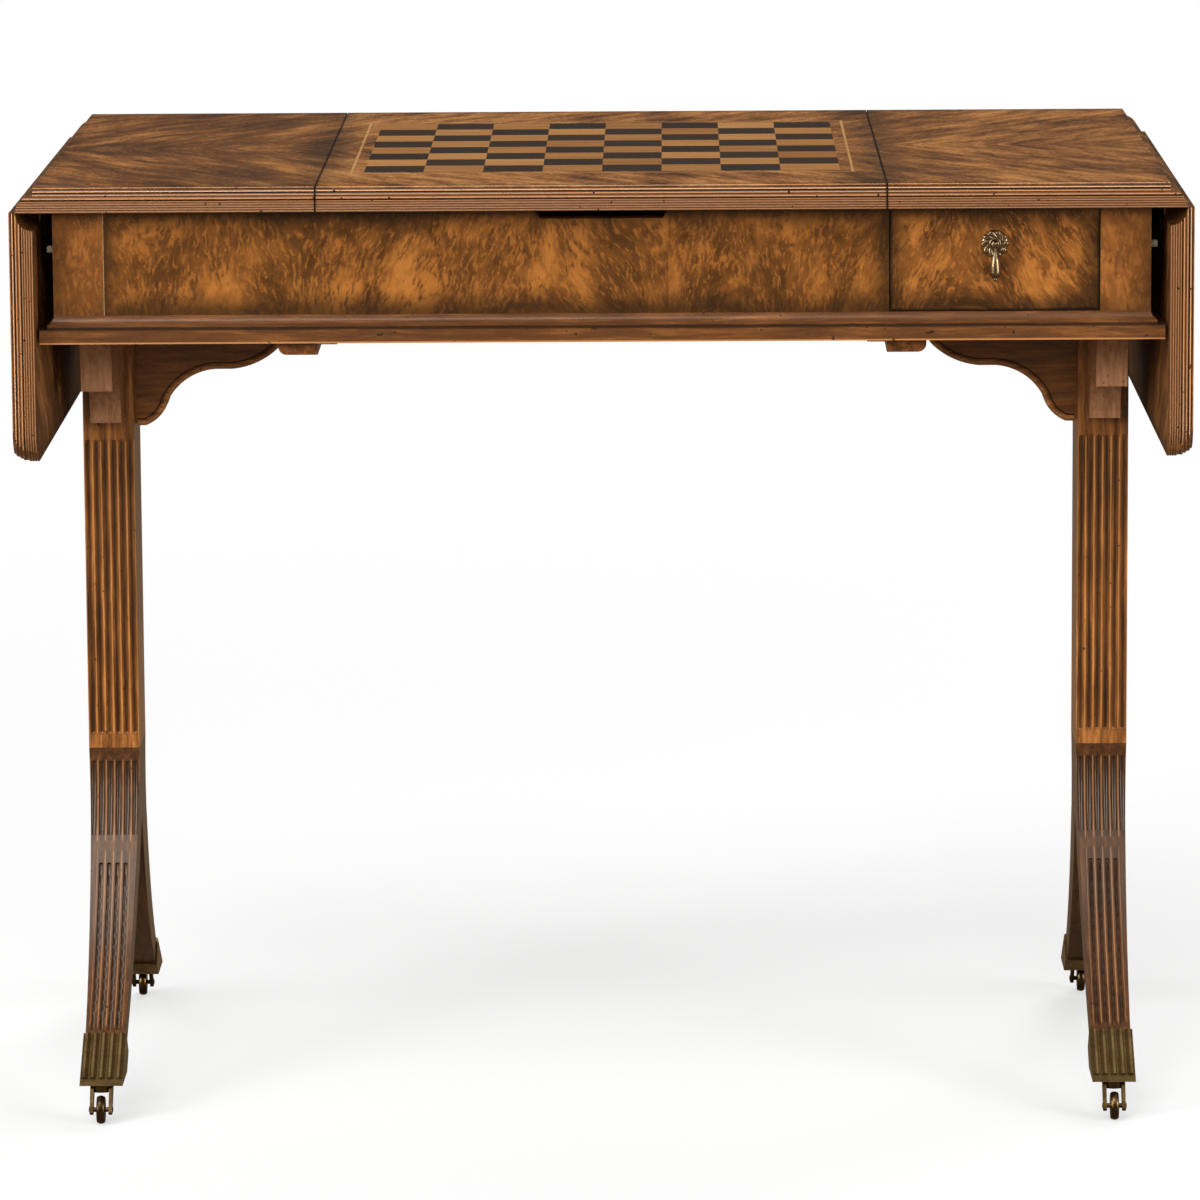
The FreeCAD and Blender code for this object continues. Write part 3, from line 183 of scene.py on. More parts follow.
class Paint(Graph):
    """The node tree of one material, on Object coordinates."""

    def __init__(self, name: str) -> None:
        """Start an empty material.

        Args:
            name: the material's name.
        """
        self.material = bpy.data.materials.new(name)
        self.material.use_nodes = True
        super().__init__(self.material.node_tree)
        self.tree.nodes.clear()
        self.place = self.node("ShaderNodeTexCoord", out="Object")

    def axes(self, vector: Optional[Link] = None) -> Tuple[Link, Link, Link]:
        """Return the x, y and z of a vector, or of the place on the object."""
        split = self.node("ShaderNodeSeparateXYZ", sockets={0: vector or self.place})
        return split, split.out("Y"), split.out("Z")

    def noise(self, vector: Link, scale: float, detail: float = 2.0, rough: float = 0.5,
              out: int = 0) -> Link:
        """Return a noise value, or its colour with out=1."""
        return self.node("ShaderNodeTexNoise", None, {
            "Vector": vector, "Scale": scale, "Detail": detail, "Roughness": rough}, out)

    def pattern(self, scale: Point, vector: Link, detail: float = 2.0, rough: float = 0.5,
                turn: Point = (0.0, 0.0, 0.0)) -> Link:
        """Lay noise over a place that is turned, and then scaled along its axes.

        Args:
            scale: the noise's scale along each axis.
            vector: the place.
            detail: the noise's detail.
            rough: the noise's roughness.
            turn: the turn, as angles about the axes.
        Returns:
            The noise value.
        """
        mapped = self.node("ShaderNodeMapping", {"vector_type": "TEXTURE"}, {
            "Vector": vector, "Scale": tuple(1 / part for part in scale), "Rotation": turn})
        return self.noise(mapped, 1.0, detail, rough)

    def warped(self, amount: float, scale: float, vector: Optional[Link] = None) -> Link:
        """Push a place about by slow noise.

        Args:
            amount: about twice the furthest push, in metres.
            scale: the noise's scale.
            vector: the place, or none for the place on the object.
        Returns:
            The pushed place.
        """
        base = vector or self.place
        drift = self.noise(base, scale, out=1)
        centred = self.node("ShaderNodeVectorMath", {"operation": "SUBTRACT"},
                            {0: drift, 1: (0.5, 0.5, 0.5)})
        return self.node("ShaderNodeVectorMath", {"operation": "MULTIPLY_ADD"},
                         {0: centred, 1: (amount, amount, amount), 2: base})

    def blend(self, share: Any, first: Any, second: Any) -> Link:
        """Return the first colour shading into the second."""
        return self.node("ShaderNodeMix", {"data_type": "RGBA"},
                         {0: share, 6: first, 7: second}, out=2)

    def ramp(self, value: Link, stops: Sequence[Tuple[float, Colour]]) -> Link:
        """Return a colour from a ramp."""
        return self.node("ShaderNodeValToRGB", {"stops": stops}, {0: value})

    def facing(self, way: Sequence[Any]) -> Link:
        """Return how squarely the surface faces a direction, -1 to 1, from its three parts."""
        parts = self.axes(self.node("ShaderNodeTexCoord", out="Normal"))
        return sum((part * share for part, share in zip(parts[1:], way[1:])), parts[0] * way[0])

    def bump(self, height: Link, strength: float, distance: float) -> Link:
        """Return a surface normal raised by the height, in metres."""
        return self.node("ShaderNodeBump", None,
                         {"Height": height, "Strength": strength, "Distance": distance})

    def finish(self, **sockets: Any) -> Material:
        """Close the material with one surface shader.

        Args:
            sockets: the shader's inputs; underscores stand for the spaces in their names.
        Returns:
            The material.
        """
        named = {key.replace("_", " "): value for key, value in sockets.items()}
        shader = self.node("ShaderNodeBsdfPrincipled", None, named)
        self.node("ShaderNodeOutputMaterial", None, {"Surface": shader})
        return self.material


# finishes

def shade(red: int, green: int, blue: int) -> Colour:
    """Return a colour as seen on a screen, 0 to 255, as the linear values of a shader."""
    parts = (level / 255 for level in (red, green, blue))
    return (*(part / 12.92 if part <= 0.04045 else ((part + 0.055) / 1.055) ** 2.4
              for part in parts), 1.0)


def inside_by(paint: Paint, spans: Sequence[Span]) -> Link:
    """Return how far inside some spans each place lies, counted from the nearest border."""
    parts = dict(zip("xyz", paint.axes()))
    return reduce(Link.least, [(parts[axis] - low).least(high - parts[axis])
                               for axis, low, high in spans])


class Finish(Protocol):
    """Any finish that can be made into a material."""

    def make(self) -> Material:
        """Build the material."""


class Grain(Enum):
    """The way that the grain of a piece runs, as the stretch of its pattern along each axis."""

    ALONG_X = (0.1, 1.0, 1.0)
    ALONG_Y = (1.0, 0.1, 1.0)
    ALONG_Z = (1.0, 1.0, 0.1)

    def scaled(self, across: float, along: float = 1.0) -> Point:
        """Return the pattern's scale for a given fineness across the grain."""
        return tuple(across * (part * along if part < 1 else part) for part in self.value)


@dataclass(frozen=True)
class GlazeEdges:
    """A dark glaze that gathers at the borders of a panel, and how far it reaches in."""

    spans: Sequence[Span]
    reach: float
    strength: float

    def mask(self, paint: Paint) -> Link:
        """Work out the glaze, with an uneven inner border.

        Args:
            paint: the material that it is for.
        Returns:
            How much glaze lies at each place, 0 to 1.
        """
        uneven = paint.noise(paint.place, 24.0, 3.0) * (self.reach * 0.9)
        depth = inside_by(paint, self.spans) + uneven - self.reach * 0.45
        return (1 - depth.fade(0.0, self.reach)) * self.strength


@dataclass(frozen=True)
class MouldedEdge:
    """The moulded border of a top or leaf: where it starts, and the face that its depth is from."""

    inside: Sequence[Span]
    axis: str
    face: float
    sign: float
    bead_start: float = 1.6 * MM
    bead_pitch: float = 2.8 * MM
    reed_start: float = 12.0 * MM
    reed_pitch: float = 2.0 * MM
    reed_lead: float = 1.5 * MM
    line: float = 1.0 * MM
    blur: float = 0.2 * MM

    def masks(self, paint: Paint) -> Tuple[Link, Link, Link]:
        """Work out the border: painted highlights on the crests, brightest on the first bead, and
        painted shade in the grooves, soft in the middle groove and faint on the reeds.

        Args:
            paint: the material that it is for.
        Returns:
            Where the border is, its grooves' painted shade and its crests' painted highlight, 0 to
            1.
        """
        edge = 1 - inside_by(paint, self.inside).fade(-self.blur, self.blur)
        depth = (dict(zip("xyz", paint.axes()))[self.axis] - self.face) * self.sign
        beads, bead_highlights = self._comb(depth, self.bead_start, self.bead_pitch)
        reeds, reed_highlights = self._comb(depth, self.reed_start, self.reed_pitch)
        lower = depth.fade(self.reed_start - self.reed_lead - self.blur / 2,
                           self.reed_start - self.reed_lead + self.blur / 2)
        first = 1 - self._past(depth, 1.0)
        soft = self._past(depth, 1.5) * (1 - self._past(depth, 2.5))
        # Painted shade darkens the grooves; a painted highlight lightens the crests, most on the
        # first bead.
        groove_shade = beads * (1 - lower) * (1 - soft * 0.6) + reeds * lower * 0.55
        crest_highlight = bead_highlights * (1 - lower) * (0.6 + first * 0.5) + reed_highlights * lower * 0.35
        return edge, groove_shade, crest_highlight

    def _past(self, depth: Link, beads: float) -> Link:
        """Return where the depth is past a number of beads, 0 to 1."""
        limit = self.bead_start + self.bead_pitch * beads
        return depth.fade(limit - self.blur, limit + self.blur)

    def _comb(self, depth: Link, start: float, pitch: float) -> Tuple[Link, Link]:
        """Work out evenly spaced grooves.

        Args:
            depth: how far each place is from the face.
            start: the depth of the first groove.
            pitch: the step from groove to groove.
        Returns:
            The grooves, for painted shade, and the crests between them, for a painted highlight.
        """
        step = (depth - start) / pitch
        away = abs(step - (step + 0.5).floor())
        return 1 - away.fade(self.line * 0.35 / pitch, self.line / pitch), away.fade(0.36, 0.5)


@dataclass(frozen=True)
class Fluting:
    """Rows of upright grooves at both ends: how many, their pitch, and the heights between."""

    middle: float
    rows: Sequence[Tuple[int, float, float, float]]
    core: float = 0.7 * MM
    rim: float = 2.3 * MM
    runout: float = 2.0 * MM
    lip: float = 1.0 * MM

    def masks(self, paint: Paint) -> Tuple[Link, Link]:
        """Work out painted shade in the grooves and painted highlights on their crests, on the
        faces that look away from the table's middle.

        Args:
            paint: the material that they are for.
        Returns:
            The painted shade in the grooves and the painted highlight near the crests between them,
            0 to 1.
        """
        x, y, z = paint.axes()
        outer = paint.facing((0.0, y / abs(y), 0.0)).fade(0.05, 0.25)
        hollow_shade: Any = 0.0
        crest_highlight: Any = 0.0
        # Each row paints shade in its grooves, reaching a little past their cut ends, and a
        # highlight on the crests between them.
        for count, pitch, low, high in self.rows:
            step = (abs(x) - self.middle) / pitch
            away = abs(step - step.floor() - 0.5)
            inside = 1 - abs(step).fade(count / 2 - 0.02, count / 2)
            above = z.fade(low - self.runout, low + self.lip)
            span = above * (1 - z.fade(high - self.lip, high + self.runout))
            hollow_shade = (1 - away.fade(self.core / pitch, self.rim / pitch)) * inside * span + hollow_shade
            crest_highlight = away.fade(0.4, 0.48) * inside * span + crest_highlight
        return hollow_shade * outer, crest_highlight * outer


@dataclass(frozen=True)
class FiguredVeneer:
    """Polished crotch veneer: golden patches, pale arches, and clusters of fine leaning dashes."""

    name: str
    glaze: GlazeEdges
    lean: float
    gap: Optional[GlazeEdges] = None
    seams: Sequence[float] = ()
    arches: Sequence[Point] = ()
    fan: float = 3.0
    level: float = 0.724
    cloud_scale: Point = (30.0, 30.0, 22.0)
    mottle_scale: Point = (105.0, 105.0, 48.0)
    speck_scale: Point = (400.0, 400.0, 120.0)
    join_half: float = 0.1 * MM
    sheet_shift: float = 0.83
    dark: Colour = shade(66, 41, 16)
    middle: Colour = shade(106, 68, 30)
    light: Colour = shade(150, 100, 46)
    stain: Colour = shade(34, 22, 10)
    gap_shade: Colour = shade(10, 6, 3)

    def make(self) -> Material:
        """Build the material: the figure, its dashes, then the glaze on the shown face.

        Returns:
            The material.
        """
        paint = Paint(self.name)
        sheet = self._matched(paint)
        fanned = self._fanned(paint, sheet)
        flow, swirl = paint.warped(0.05, 12.0, fanned), paint.warped(0.009, 60.0, fanned)
        cloud = paint.pattern(self.cloud_scale, flow, 3.0, 0.55, (0.0, self.lean, 0.0))
        figure = cloud * 0.55 + paint.pattern(self.mottle_scale, swirl, 6.0, 0.72) * 0.46
        for arch in self.arches:
            figure = self._arched(paint, figure, paint.warped(0.02, 30.0, sheet), arch)
        colour = paint.ramp(figure, [(0.37, self.dark), (0.50, self.middle), (0.65, self.light)])
        speck = paint.pattern(self.speck_scale, swirl, 3.0, 0.6)
        cluster = paint.noise(flow, 42.0).fade(0.40, 0.58)
        fibre = (speck + (0.52 - figure) * 0.35).fade(0.53, 0.58) * cluster
        colour = paint.blend(fibre * 0.75, colour, self.dark)
        bright = (0.5 - speck + (figure - 0.5) * 0.35).fade(0.04, 0.09)
        colour = paint.blend(bright * 0.45, colour, self.light)
        shown_face = abs(paint.facing((0.0, 1.0, 0.0))).fade(0.5, 0.8)
        colour = paint.blend(self.glaze.mask(paint) * shown_face, colour, self.stain)
        if self.gap:
            colour = paint.blend(self.gap.mask(paint) * shown_face, colour, self.gap_shade)
        return paint.finish(Base_Color=colour, Roughness=0.22 + cloud * 0.06 + fibre * 0.08,
                            Specular_IOR_Level=0.4, Coat_Weight=0.25, Coat_Roughness=0.06,
                            Normal=paint.bump(fibre, 0.04, 0.0003))

    def _matched(self, paint: Paint) -> Link:
        """Break the pattern at the joins between sheets of veneer.

        Args:
            paint: the material.
        Returns:
            The place on each sheet.
        """
        x, y, z = paint.axes()
        for join in self.seams:
            y = y + (x - join).fade(-self.join_half, self.join_half) * self.sheet_shift
        return paint.packed(x, y, z)

    def _fanned(self, paint: Paint, sheet: Link) -> Link:
        """Shear the place by amounts that change along the panel, so that the streaks fan out.

        Args:
            paint: the material.
            sheet: the place on the sheet of veneer.
        Returns:
            The sheared place.
        """
        x, y, z = paint.axes(sheet)
        bend = paint.noise(paint.packed(x * 9.0, y), 1.0, 1.0) - 0.5
        return paint.packed(x + bend * (z - self.level) * self.fan, y, z)

    @staticmethod
    def _arched(paint: Paint, figure: Link, flow: Link, arch: Point) -> Link:
        """Add one tall pale arch, dark along its edge.

        Args:
            paint: the material.
            figure: the figure so far.
            flow: the place, a little warped.
            arch: the x and z of the arch's foot, and its reach.
        Returns:
            The figure with the arch.
        """
        x, _, z = paint.axes(flow)
        across, up = (x - arch[0]) * 1.5, (z - arch[1]) * 0.62
        away = (across * across + up * up) ** 0.5 / arch[2]
        rim = (1 - abs(away - 1).fade(0.0, 0.16)) * away.fade(0.4, 1.0)
        return figure + (1 - away.fade(0.3, 1.05)) * 0.04 - rim * 0.055


@dataclass(frozen=True)
class FlameVeneer:
    """Polished veneer, matched in mirror halves, with flame streaks and a moulded border."""

    name: str
    grain: Grain
    glaze: Optional[GlazeEdges] = None
    border: Optional[MouldedEdge] = None
    underside: Point = (0.0, 0.0, -1.0)
    seam: float = 0.0
    seam_core: float = 0.5 * MM
    seam_rim: float = 1.7 * MM
    slant: float = 0.95
    dark: Colour = shade(80, 49, 23)
    middle: Colour = shade(128, 84, 43)
    light: Colour = shade(200, 142, 80)
    stain: Colour = shade(28, 17, 8)
    edge: Colour = shade(124, 84, 51)
    painted_highlight: Colour = shade(246, 206, 168)

    def make(self) -> Material:
        """Build the material: the flame, its pores, the border, the seams and the underside.

        Returns:
            The material.
        """
        paint, grain = Paint(self.name), self.grain
        turn, drift = self._turned(), paint.warped(0.014, 9.0, self._mirrored(paint))
        flame = paint.pattern(grain.scaled(62.0, 2.8), drift, 4.0, 0.62, turn)
        broad = paint.pattern(grain.scaled(17.0, 3.5), drift, 3.0, turn=turn)
        streak = paint.pattern(grain.scaled(300.0, 7.0), drift, turn=turn)
        figure = flame * 0.46 + broad * 0.34 + streak * 0.23
        colour = paint.ramp(figure, [(0.41, self.dark), (0.51, self.middle), (0.64, self.light)])
        fine = paint.pattern(grain.scaled(900.0), paint.warped(0.004, 40.0))
        pore = fine.fade(0.54, 0.68)
        colour, relief = paint.blend(pore * 0.25, colour, self.dark), pore
        if self.glaze:
            colour = paint.blend(self.glaze.mask(paint), colour, self.stain)
        if self.border:
            edge, rim = self._edged(paint, self.border, fine)
            colour, relief = paint.blend(edge, colour, rim), pore * (1 - edge)
        if self.seam:
            gap = 1 - abs(abs(paint.axes()[0]) - self.seam).fade(self.seam_core, self.seam_rim)
            open_face = 1 - abs(paint.facing((1.0, 0.0, 0.0))).fade(0.5, 0.8)
            colour = paint.blend(gap * open_face * 0.9, colour, self.stain)
        under = paint.facing(self.underside).fade(0.85, 0.95)
        colour = paint.blend(under * 0.25, colour, self.stain)
        rough = 0.16 + broad * 0.08 + pore * 0.1 + under * 0.4
        return paint.finish(Base_Color=colour, Roughness=rough, Specular_IOR_Level=0.4,
                            Coat_Weight=(1 - under) * 0.3, Coat_Roughness=0.05,
                            Normal=paint.bump(relief, 0.1, 0.0004))

    def _edged(self, paint: Paint, border: MouldedEdge, fine: Link) -> Tuple[Link, Link]:
        """Colour the moulded border: painted highlights on the crests, painted shade in the grooves
        and a few nicks.

        Args:
            paint: the material.
            border: the border.
            fine: the fine grain.
        Returns:
            Where the border is, and its colour.
        """
        edge, groove_shade, crest_highlight = border.masks(paint)
        rim = paint.blend(fine.fade(0.4, 0.7) * 0.4, self.edge, self.dark)
        # A painted highlight on the crests, then painted shade in the grooves together with the
        # nicks.
        rim = paint.blend(crest_highlight * 0.85, rim, self.painted_highlight)
        nick = paint.noise(paint.place, 210.0, 1.0).fade(0.70, 0.75)
        return edge, paint.blend((groove_shade * 0.95).most(nick), rim, self.stain)

    def _turned(self) -> Point:
        """Return the turn that lays the streaks aslant of the grain, in the plane of the sheet."""
        return {Grain.ALONG_X: (0.0, 0.0, self.slant), Grain.ALONG_Y: (0.0, 0.0, -self.slant),
                Grain.ALONG_Z: (-self.slant, 0.0, 0.0)}[self.grain]

    def _mirrored(self, paint: Paint) -> Link:
        """Fold the place at the middle of the table, so that the streaks meet in chevrons.

        Args:
            paint: the material.
        Returns:
            The folded place.
        """
        x, y, z = paint.axes()
        if self.grain is Grain.ALONG_Y:
            return paint.packed(abs(x), y, z)
        return paint.packed(x, abs(y), z)


@dataclass(frozen=True)
class SolidMahogany:
    """Turned, reeded or moulded mahogany: straight grain, pores and small distress marks."""

    name: str
    grain: Grain
    dark: Colour = shade(70, 42, 20)
    middle: Colour = shade(104, 64, 31)
    light: Colour = shade(146, 94, 48)
    stain: Colour = shade(30, 18, 9)
    painted_highlight: Colour = shade(196, 144, 88)
    gloss: float = 0.3
    polish: float = 0.08
    fluting: Optional[Fluting] = None
    lean: float = 0.0
    # Level bands of painted shade and painted highlight: each band's height, half width and tone.
    lines: Sequence[Tuple[float, float, Colour]] = ()

    def make(self) -> Material:
        """Build the material: the grain and its pores, then painted shade in the flutes with
        painted highlights on their crests, level lines of painted shade and highlight, and marks.

        Returns:
            The material.
        """
        paint = Paint(self.name)
        drift, turn = paint.warped(0.008, 14.0, self._folded(paint)), (self.lean, 0.0, 0.0)
        streak = paint.pattern(self.grain.scaled(240.0, 0.7), drift, 4.0, 0.6, turn)
        slow = paint.noise(paint.place, 9.0, 3.0)
        colour = paint.ramp(streak * 0.74 + slow * 0.32,
                            [(0.38, self.dark), (0.54, self.middle), (0.72, self.light)])
        pore = paint.pattern(self.grain.scaled(1300.0, 1.6), drift, turn=turn).fade(0.56, 0.7)
        colour = paint.blend(pore * 0.4, colour, self.stain)
        # Painted shade in the flutes and a painted highlight on their crests.
        if self.fluting:
            hollow_shade, crest_highlight = self.fluting.masks(paint)
            colour = paint.blend(hollow_shade * 0.72, colour, self.stain)
            colour = paint.blend(crest_highlight * 0.5, colour, self.painted_highlight)
        # Level bands of painted shade and painted highlight, each at its height.
        for height, half, tone in self.lines:
            near = 1 - abs(paint.axes()[2] - height).fade(half * 0.4, half)
            colour = paint.blend(near * 0.8, colour, tone)
        mark = paint.noise(paint.place, 190.0, 1.0).fade(0.72, 0.77)
        colour = paint.blend(mark * 0.85, colour, self.stain)
        return paint.finish(Base_Color=colour, Roughness=self.gloss + slow * 0.12 + pore * 0.1,
                            Specular_IOR_Level=0.4, Coat_Weight=0.3, Coat_Roughness=self.polish,
                            Normal=paint.bump(pore + mark * 2, 0.18, 0.0005))

    def _folded(self, paint: Paint) -> Link:
        """Fold front and back together where the grain leans.

        Args:
            paint: the material.
        Returns:
            The folded place, or the place as it is.
        """
        if not self.lean:
            return paint.place
        x, y, z = paint.axes()
        return paint.packed(x, abs(y), z)


@dataclass(frozen=True)
class BoardInlay:
    """Inlaid wood cut into squares, each square with a shade and a grain of its own."""

    name: str
    dark: Colour
    light: Colour
    cell: float = 48.7 * MM

    def make(self) -> Material:
        """Build the material.

        Returns:
            The material.
        """
        paint, grain = Paint(self.name), Grain.ALONG_X
        x, y, z = paint.axes()
        cell = paint.packed((x / self.cell).floor(), (y / self.cell).floor())
        own = paint.node("ShaderNodeTexWhiteNoise", {"noise_dimensions": "3D"}, {"Vector": cell},
                         out="Value")
        shifted = paint.packed(x, y + own * 3, z)
        streak = paint.pattern(grain.scaled(190.0, 0.6), shifted, 4.0, 0.6)
        pore = paint.pattern(grain.scaled(1200.0), shifted).fade(0.55, 0.7)
        colour = paint.ramp(streak * 0.8 + own * 0.3, [(0.32, self.dark), (0.78, self.light)])
        colour = paint.blend(pore * 0.35, colour, self.dark)
        return paint.finish(Base_Color=colour, Roughness=0.2 + streak * 0.1, Coat_Weight=0.6,
                            Coat_Roughness=0.08, Normal=paint.bump(pore, 0.08, 0.0003))


@dataclass(frozen=True)
class PlainLining:
    """Waxed plain wood inside the case: pale, dry and straight-grained."""

    name: str
    grain: Grain
    dark: Colour = shade(118, 84, 48)
    light: Colour = shade(176, 138, 88)

    def make(self) -> Material:
        """Build the material.

        Returns:
            The material.
        """
        paint = Paint(self.name)
        drift = paint.warped(0.02, 12.0)
        streak = paint.pattern(self.grain.scaled(120.0, 0.5), drift, 4.0)
        pore = paint.pattern(self.grain.scaled(900.0), drift).fade(0.55, 0.7)
        colour = paint.ramp(streak, [(0.35, self.dark), (0.66, self.light)])
        colour = paint.blend(pore * 0.4, colour, self.dark)
        return paint.finish(Base_Color=colour, Roughness=0.48 + streak * 0.15,
                            Normal=paint.bump(pore, 0.2, 0.0005))


@dataclass(frozen=True)
class AntiqueBrass:
    """Old brass: darkened in slow patches, rubbed bright between."""

    name: str
    patina: Colour
    metal: Colour
    patch: float

    def make(self) -> Material:
        """Build the material.

        Returns:
            The material.
        """
        paint = Paint(self.name)
        fine = paint.noise(paint.place, self.patch * 9)
        tone = paint.noise(paint.place, self.patch, 4.0, 0.6) * 0.75 + fine * 0.3
        colour = paint.ramp(tone, [(0.36, self.patina), (0.62, self.metal)])
        return paint.finish(Base_Color=colour, Metallic=1.0, Roughness=0.5 - tone * 0.32,
                            Normal=paint.bump(fine, 0.12, 0.0003))


@dataclass(frozen=True)
class SoftRubber:
    """Matt grey rubber with a faint bloom."""

    name: str
    dark: Colour = shade(120, 116, 108)
    light: Colour = shade(160, 155, 146)

    def make(self) -> Material:
        """Build the material.

        Returns:
            The material.
        """
        paint = Paint(self.name)
        bloom = paint.noise(paint.place, 300.0, 3.0)
        colour = paint.ramp(bloom, [(0.3, self.dark), (0.7, self.light)])
        return paint.finish(Base_Color=colour, Roughness=0.6 + bloom * 0.2)


# forms made by geometry nodes

class Former(Graph):
    """A geometry-nodes tree with named sizes that is turned into a plain mesh."""

    def __init__(self, name: str) -> None:
        """Start an empty tree with a geometry input and output.

        Args:
            name: the tree's name.
        """
        super().__init__(bpy.data.node_groups.new(name, "GeometryNodeTree"))
        self.values: Dict[str, Any] = {}
        for way in ("INPUT", "OUTPUT"):
            self.tree.interface.new_socket("Geometry", in_out=way, socket_type="NodeSocketGeometry")
        self.inputs = self.node("NodeGroupInput")

    def size(self, name: str, value: Any, kind: str = "NodeSocketFloat") -> Link:
        """Add a named size to the tree's inputs.

        Args:
            name: the size's name.
            value: the size.
            kind: the type of its socket.
        Returns:
            The size as an output of the tree's inputs.
        """
        socket = self.tree.interface.new_socket(name, in_out="INPUT", socket_type=kind)
        self.values[socket.identifier] = value
        return self.inputs.out(name)

    def tube(self, path: Link, radius: Any, scale: Any = 1.0, sides: int = 10) -> Link:
        """Return a closed round tube along a curve."""
        ring = self.node("GeometryNodeCurvePrimitiveCircle", None,
                         {"Resolution": sides, "Radius": radius})
        return self.node("GeometryNodeCurveToMesh", None,
                         {"Curve": path, "Profile Curve": ring, "Scale": scale, "Fill Caps": True})

    def ball(self, radius: Link, segments: int, rings: int, **sockets: Any) -> Link:
        """Return a ball, scaled and moved."""
        ball = self.node("GeometryNodeMeshUVSphere", None,
                         {"Segments": segments, "Rings": rings, "Radius": radius})
        return self.moved(ball, **sockets)

    def moved(self, shape: Link, **sockets: Any) -> Link:
        """Return a shape turned, scaled and moved."""
        return self.node("GeometryNodeTransform", None, {"Geometry": shape, **sockets})

    def copies(self, points: Link, shape: Link, **sockets: Any) -> Link:
        """Return a copy of a shape at each of some points."""
        return self.node("GeometryNodeInstanceOnPoints", None,
                         {"Points": points, "Instance": shape, **sockets})

    def joined(self, *shapes: Link) -> Link:
        """Join several shapes.

        Args:
            shapes: the shapes.
        Returns:
            The shapes as one.
        """
        join = self.node("GeometryNodeJoinGeometry")
        for part in shapes:
            self.tree.links.new(part.socket, join.node.inputs[0])
        return join

    def close(self, shape: Link, material: Material) -> None:
        """End the tree: real geometry, smooth shading, one material.

        Args:
            shape: what the tree gives out.
            material: its finish.
        """
        real = self.node("GeometryNodeRealizeInstances", None, {0: shape})
        smooth = self.node("GeometryNodeSetShadeSmooth", None, {0: real})
        coloured = self.node("GeometryNodeSetMaterial", None, {0: smooth, "Material": material})
        self.node("NodeGroupOutput", None, {0: coloured})

    def grow(self, name: str, base: Optional[bpy.types.Mesh] = None) -> Piece:
        """Run the tree and keep its result.

        Args:
            name: the new piece's name.
            base: points or edges that the tree works on.
        Returns:
            An object with a plain mesh at the origin.
        """
        start = base or bpy.data.meshes.new(name + "_start")
        carrier = bpy.data.objects.new(name + "_carrier", start)
        bpy.context.scene.collection.objects.link(carrier)
        modifier = carrier.modifiers.new("form", "NODES")
        modifier.node_group = self.tree
        for identifier, value in self.values.items():
            modifier[identifier] = value
        depsgraph = bpy.context.evaluated_depsgraph_get()
        mesh = bpy.data.meshes.new_from_object(carrier.evaluated_get(depsgraph))
        carrier.modifiers.remove(modifier)
        bpy.data.objects.remove(carrier)
        return shown(name, mesh)


def shown(name: str, mesh: bpy.types.Mesh) -> Piece:
    """Put a mesh into the scene.

    Args:
        name: the piece's name.
        mesh: its mesh.
    Returns:
        A new object with the mesh.
    """
    mesh.name = name
    piece = bpy.data.objects.new(name, mesh)
    bpy.context.scene.collection.objects.link(piece)
    return piece


def point_mesh(name: str, points: Iterable[Point], chains: Sequence[int] = ()) -> bpy.types.Mesh:
    """Make a mesh of bare points.

    Args:
        name: the mesh's name.
        points: the points.
        chains: lengths of the runs of points that edges join.
    Returns:
        The mesh.
    """
    mesh = bpy.data.meshes.new(name)
    edges, first = [], 0
    for length in chains:
        edges += [(first + step, first + step + 1) for step in range(length - 1)]
        first += length
    mesh.from_pydata(list(points), edges, [])
    return mesh


def attach(piece: Piece, body: str, slot: str, *nodes: str) -> None:
    """Let a piece ride on a body.

    Args:
        piece: the piece.
        body: the body that it moves with.
        slot: its material slot; not used.
        nodes: the nodes that it stands for.
    """
    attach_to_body(piece, body)
    if nodes:
        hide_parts(*nodes)
    LOG.info("%s rides on %s, %d faces", piece.name, body, len(piece.data.polygons))


def screw_heads(name: str, places: Sequence[Point], facing: Point, radius: float,
                material: Material) -> Piece:
    """Make slotted screw heads at some places.

    Args:
        name: the piece's name.
        places: the middle of each head, on its seat.
        facing: the turn that points a head outwards, as angles about the axes.
        radius: a head's radius.
        material: the heads' finish.
    Returns:
        One object with all the heads.
    """
    form = Former(name + "_form")
    wide = form.size("Head radius", radius)
    turn = form.size("Facing", facing, "NodeSocketVector")
    seed = form.size("Slot seed", SEED, "NodeSocketInt")
    crown = form.ball(wide, 14, 8, Scale=(1.0, 1.0, 0.3))
    bar = form.node("GeometryNodeMeshCube", None,
                    {"Size": form.packed(wide * 3, wide * 0.24, wide * 0.3)})
    bar = form.moved(bar, Translation=form.packed(z=wide * 0.33))
    head = form.node("GeometryNodeMeshBoolean", {"operation": "DIFFERENCE"},
                     {"Mesh 1": crown, "Mesh 2": bar})
    spots = form.copies(form.inputs, head, Rotation=turn)
    spin = form.node("FunctionNodeRandomValue", {"data_type": "FLOAT"},
                     {2: 0.0, 3: math.pi, "Seed": seed}, out=1)
    spots = form.node("GeometryNodeRotateInstances", None,
                      {"Instances": spots, "Rotation": form.packed(z=spin)})
    form.close(spots, material)
    return form.grow(name, point_mesh(name + "_places", places))


def bead_lines(name: str, lines: Sequence[Sequence[Point]], radius: float,
               material: Material) -> Piece:
    """Make round beads along some lines.

    Args:
        name: the piece's name.
        lines: the points of each line.
        radius: a bead's radius.
        material: the beads' finish.
    Returns:
        One object with all the beads.
    """
    form = Former(name + "_form")
    thick = form.size("Bead radius", radius)
    path = form.node("GeometryNodeMeshToCurve", None, {"Mesh": form.inputs})
    form.close(form.tube(path, thick), material)
    points = [point for line in lines for point in line]
    return form.grow(name, point_mesh(name + "_path", points, [len(line) for line in lines]))


# lines and closed shapes

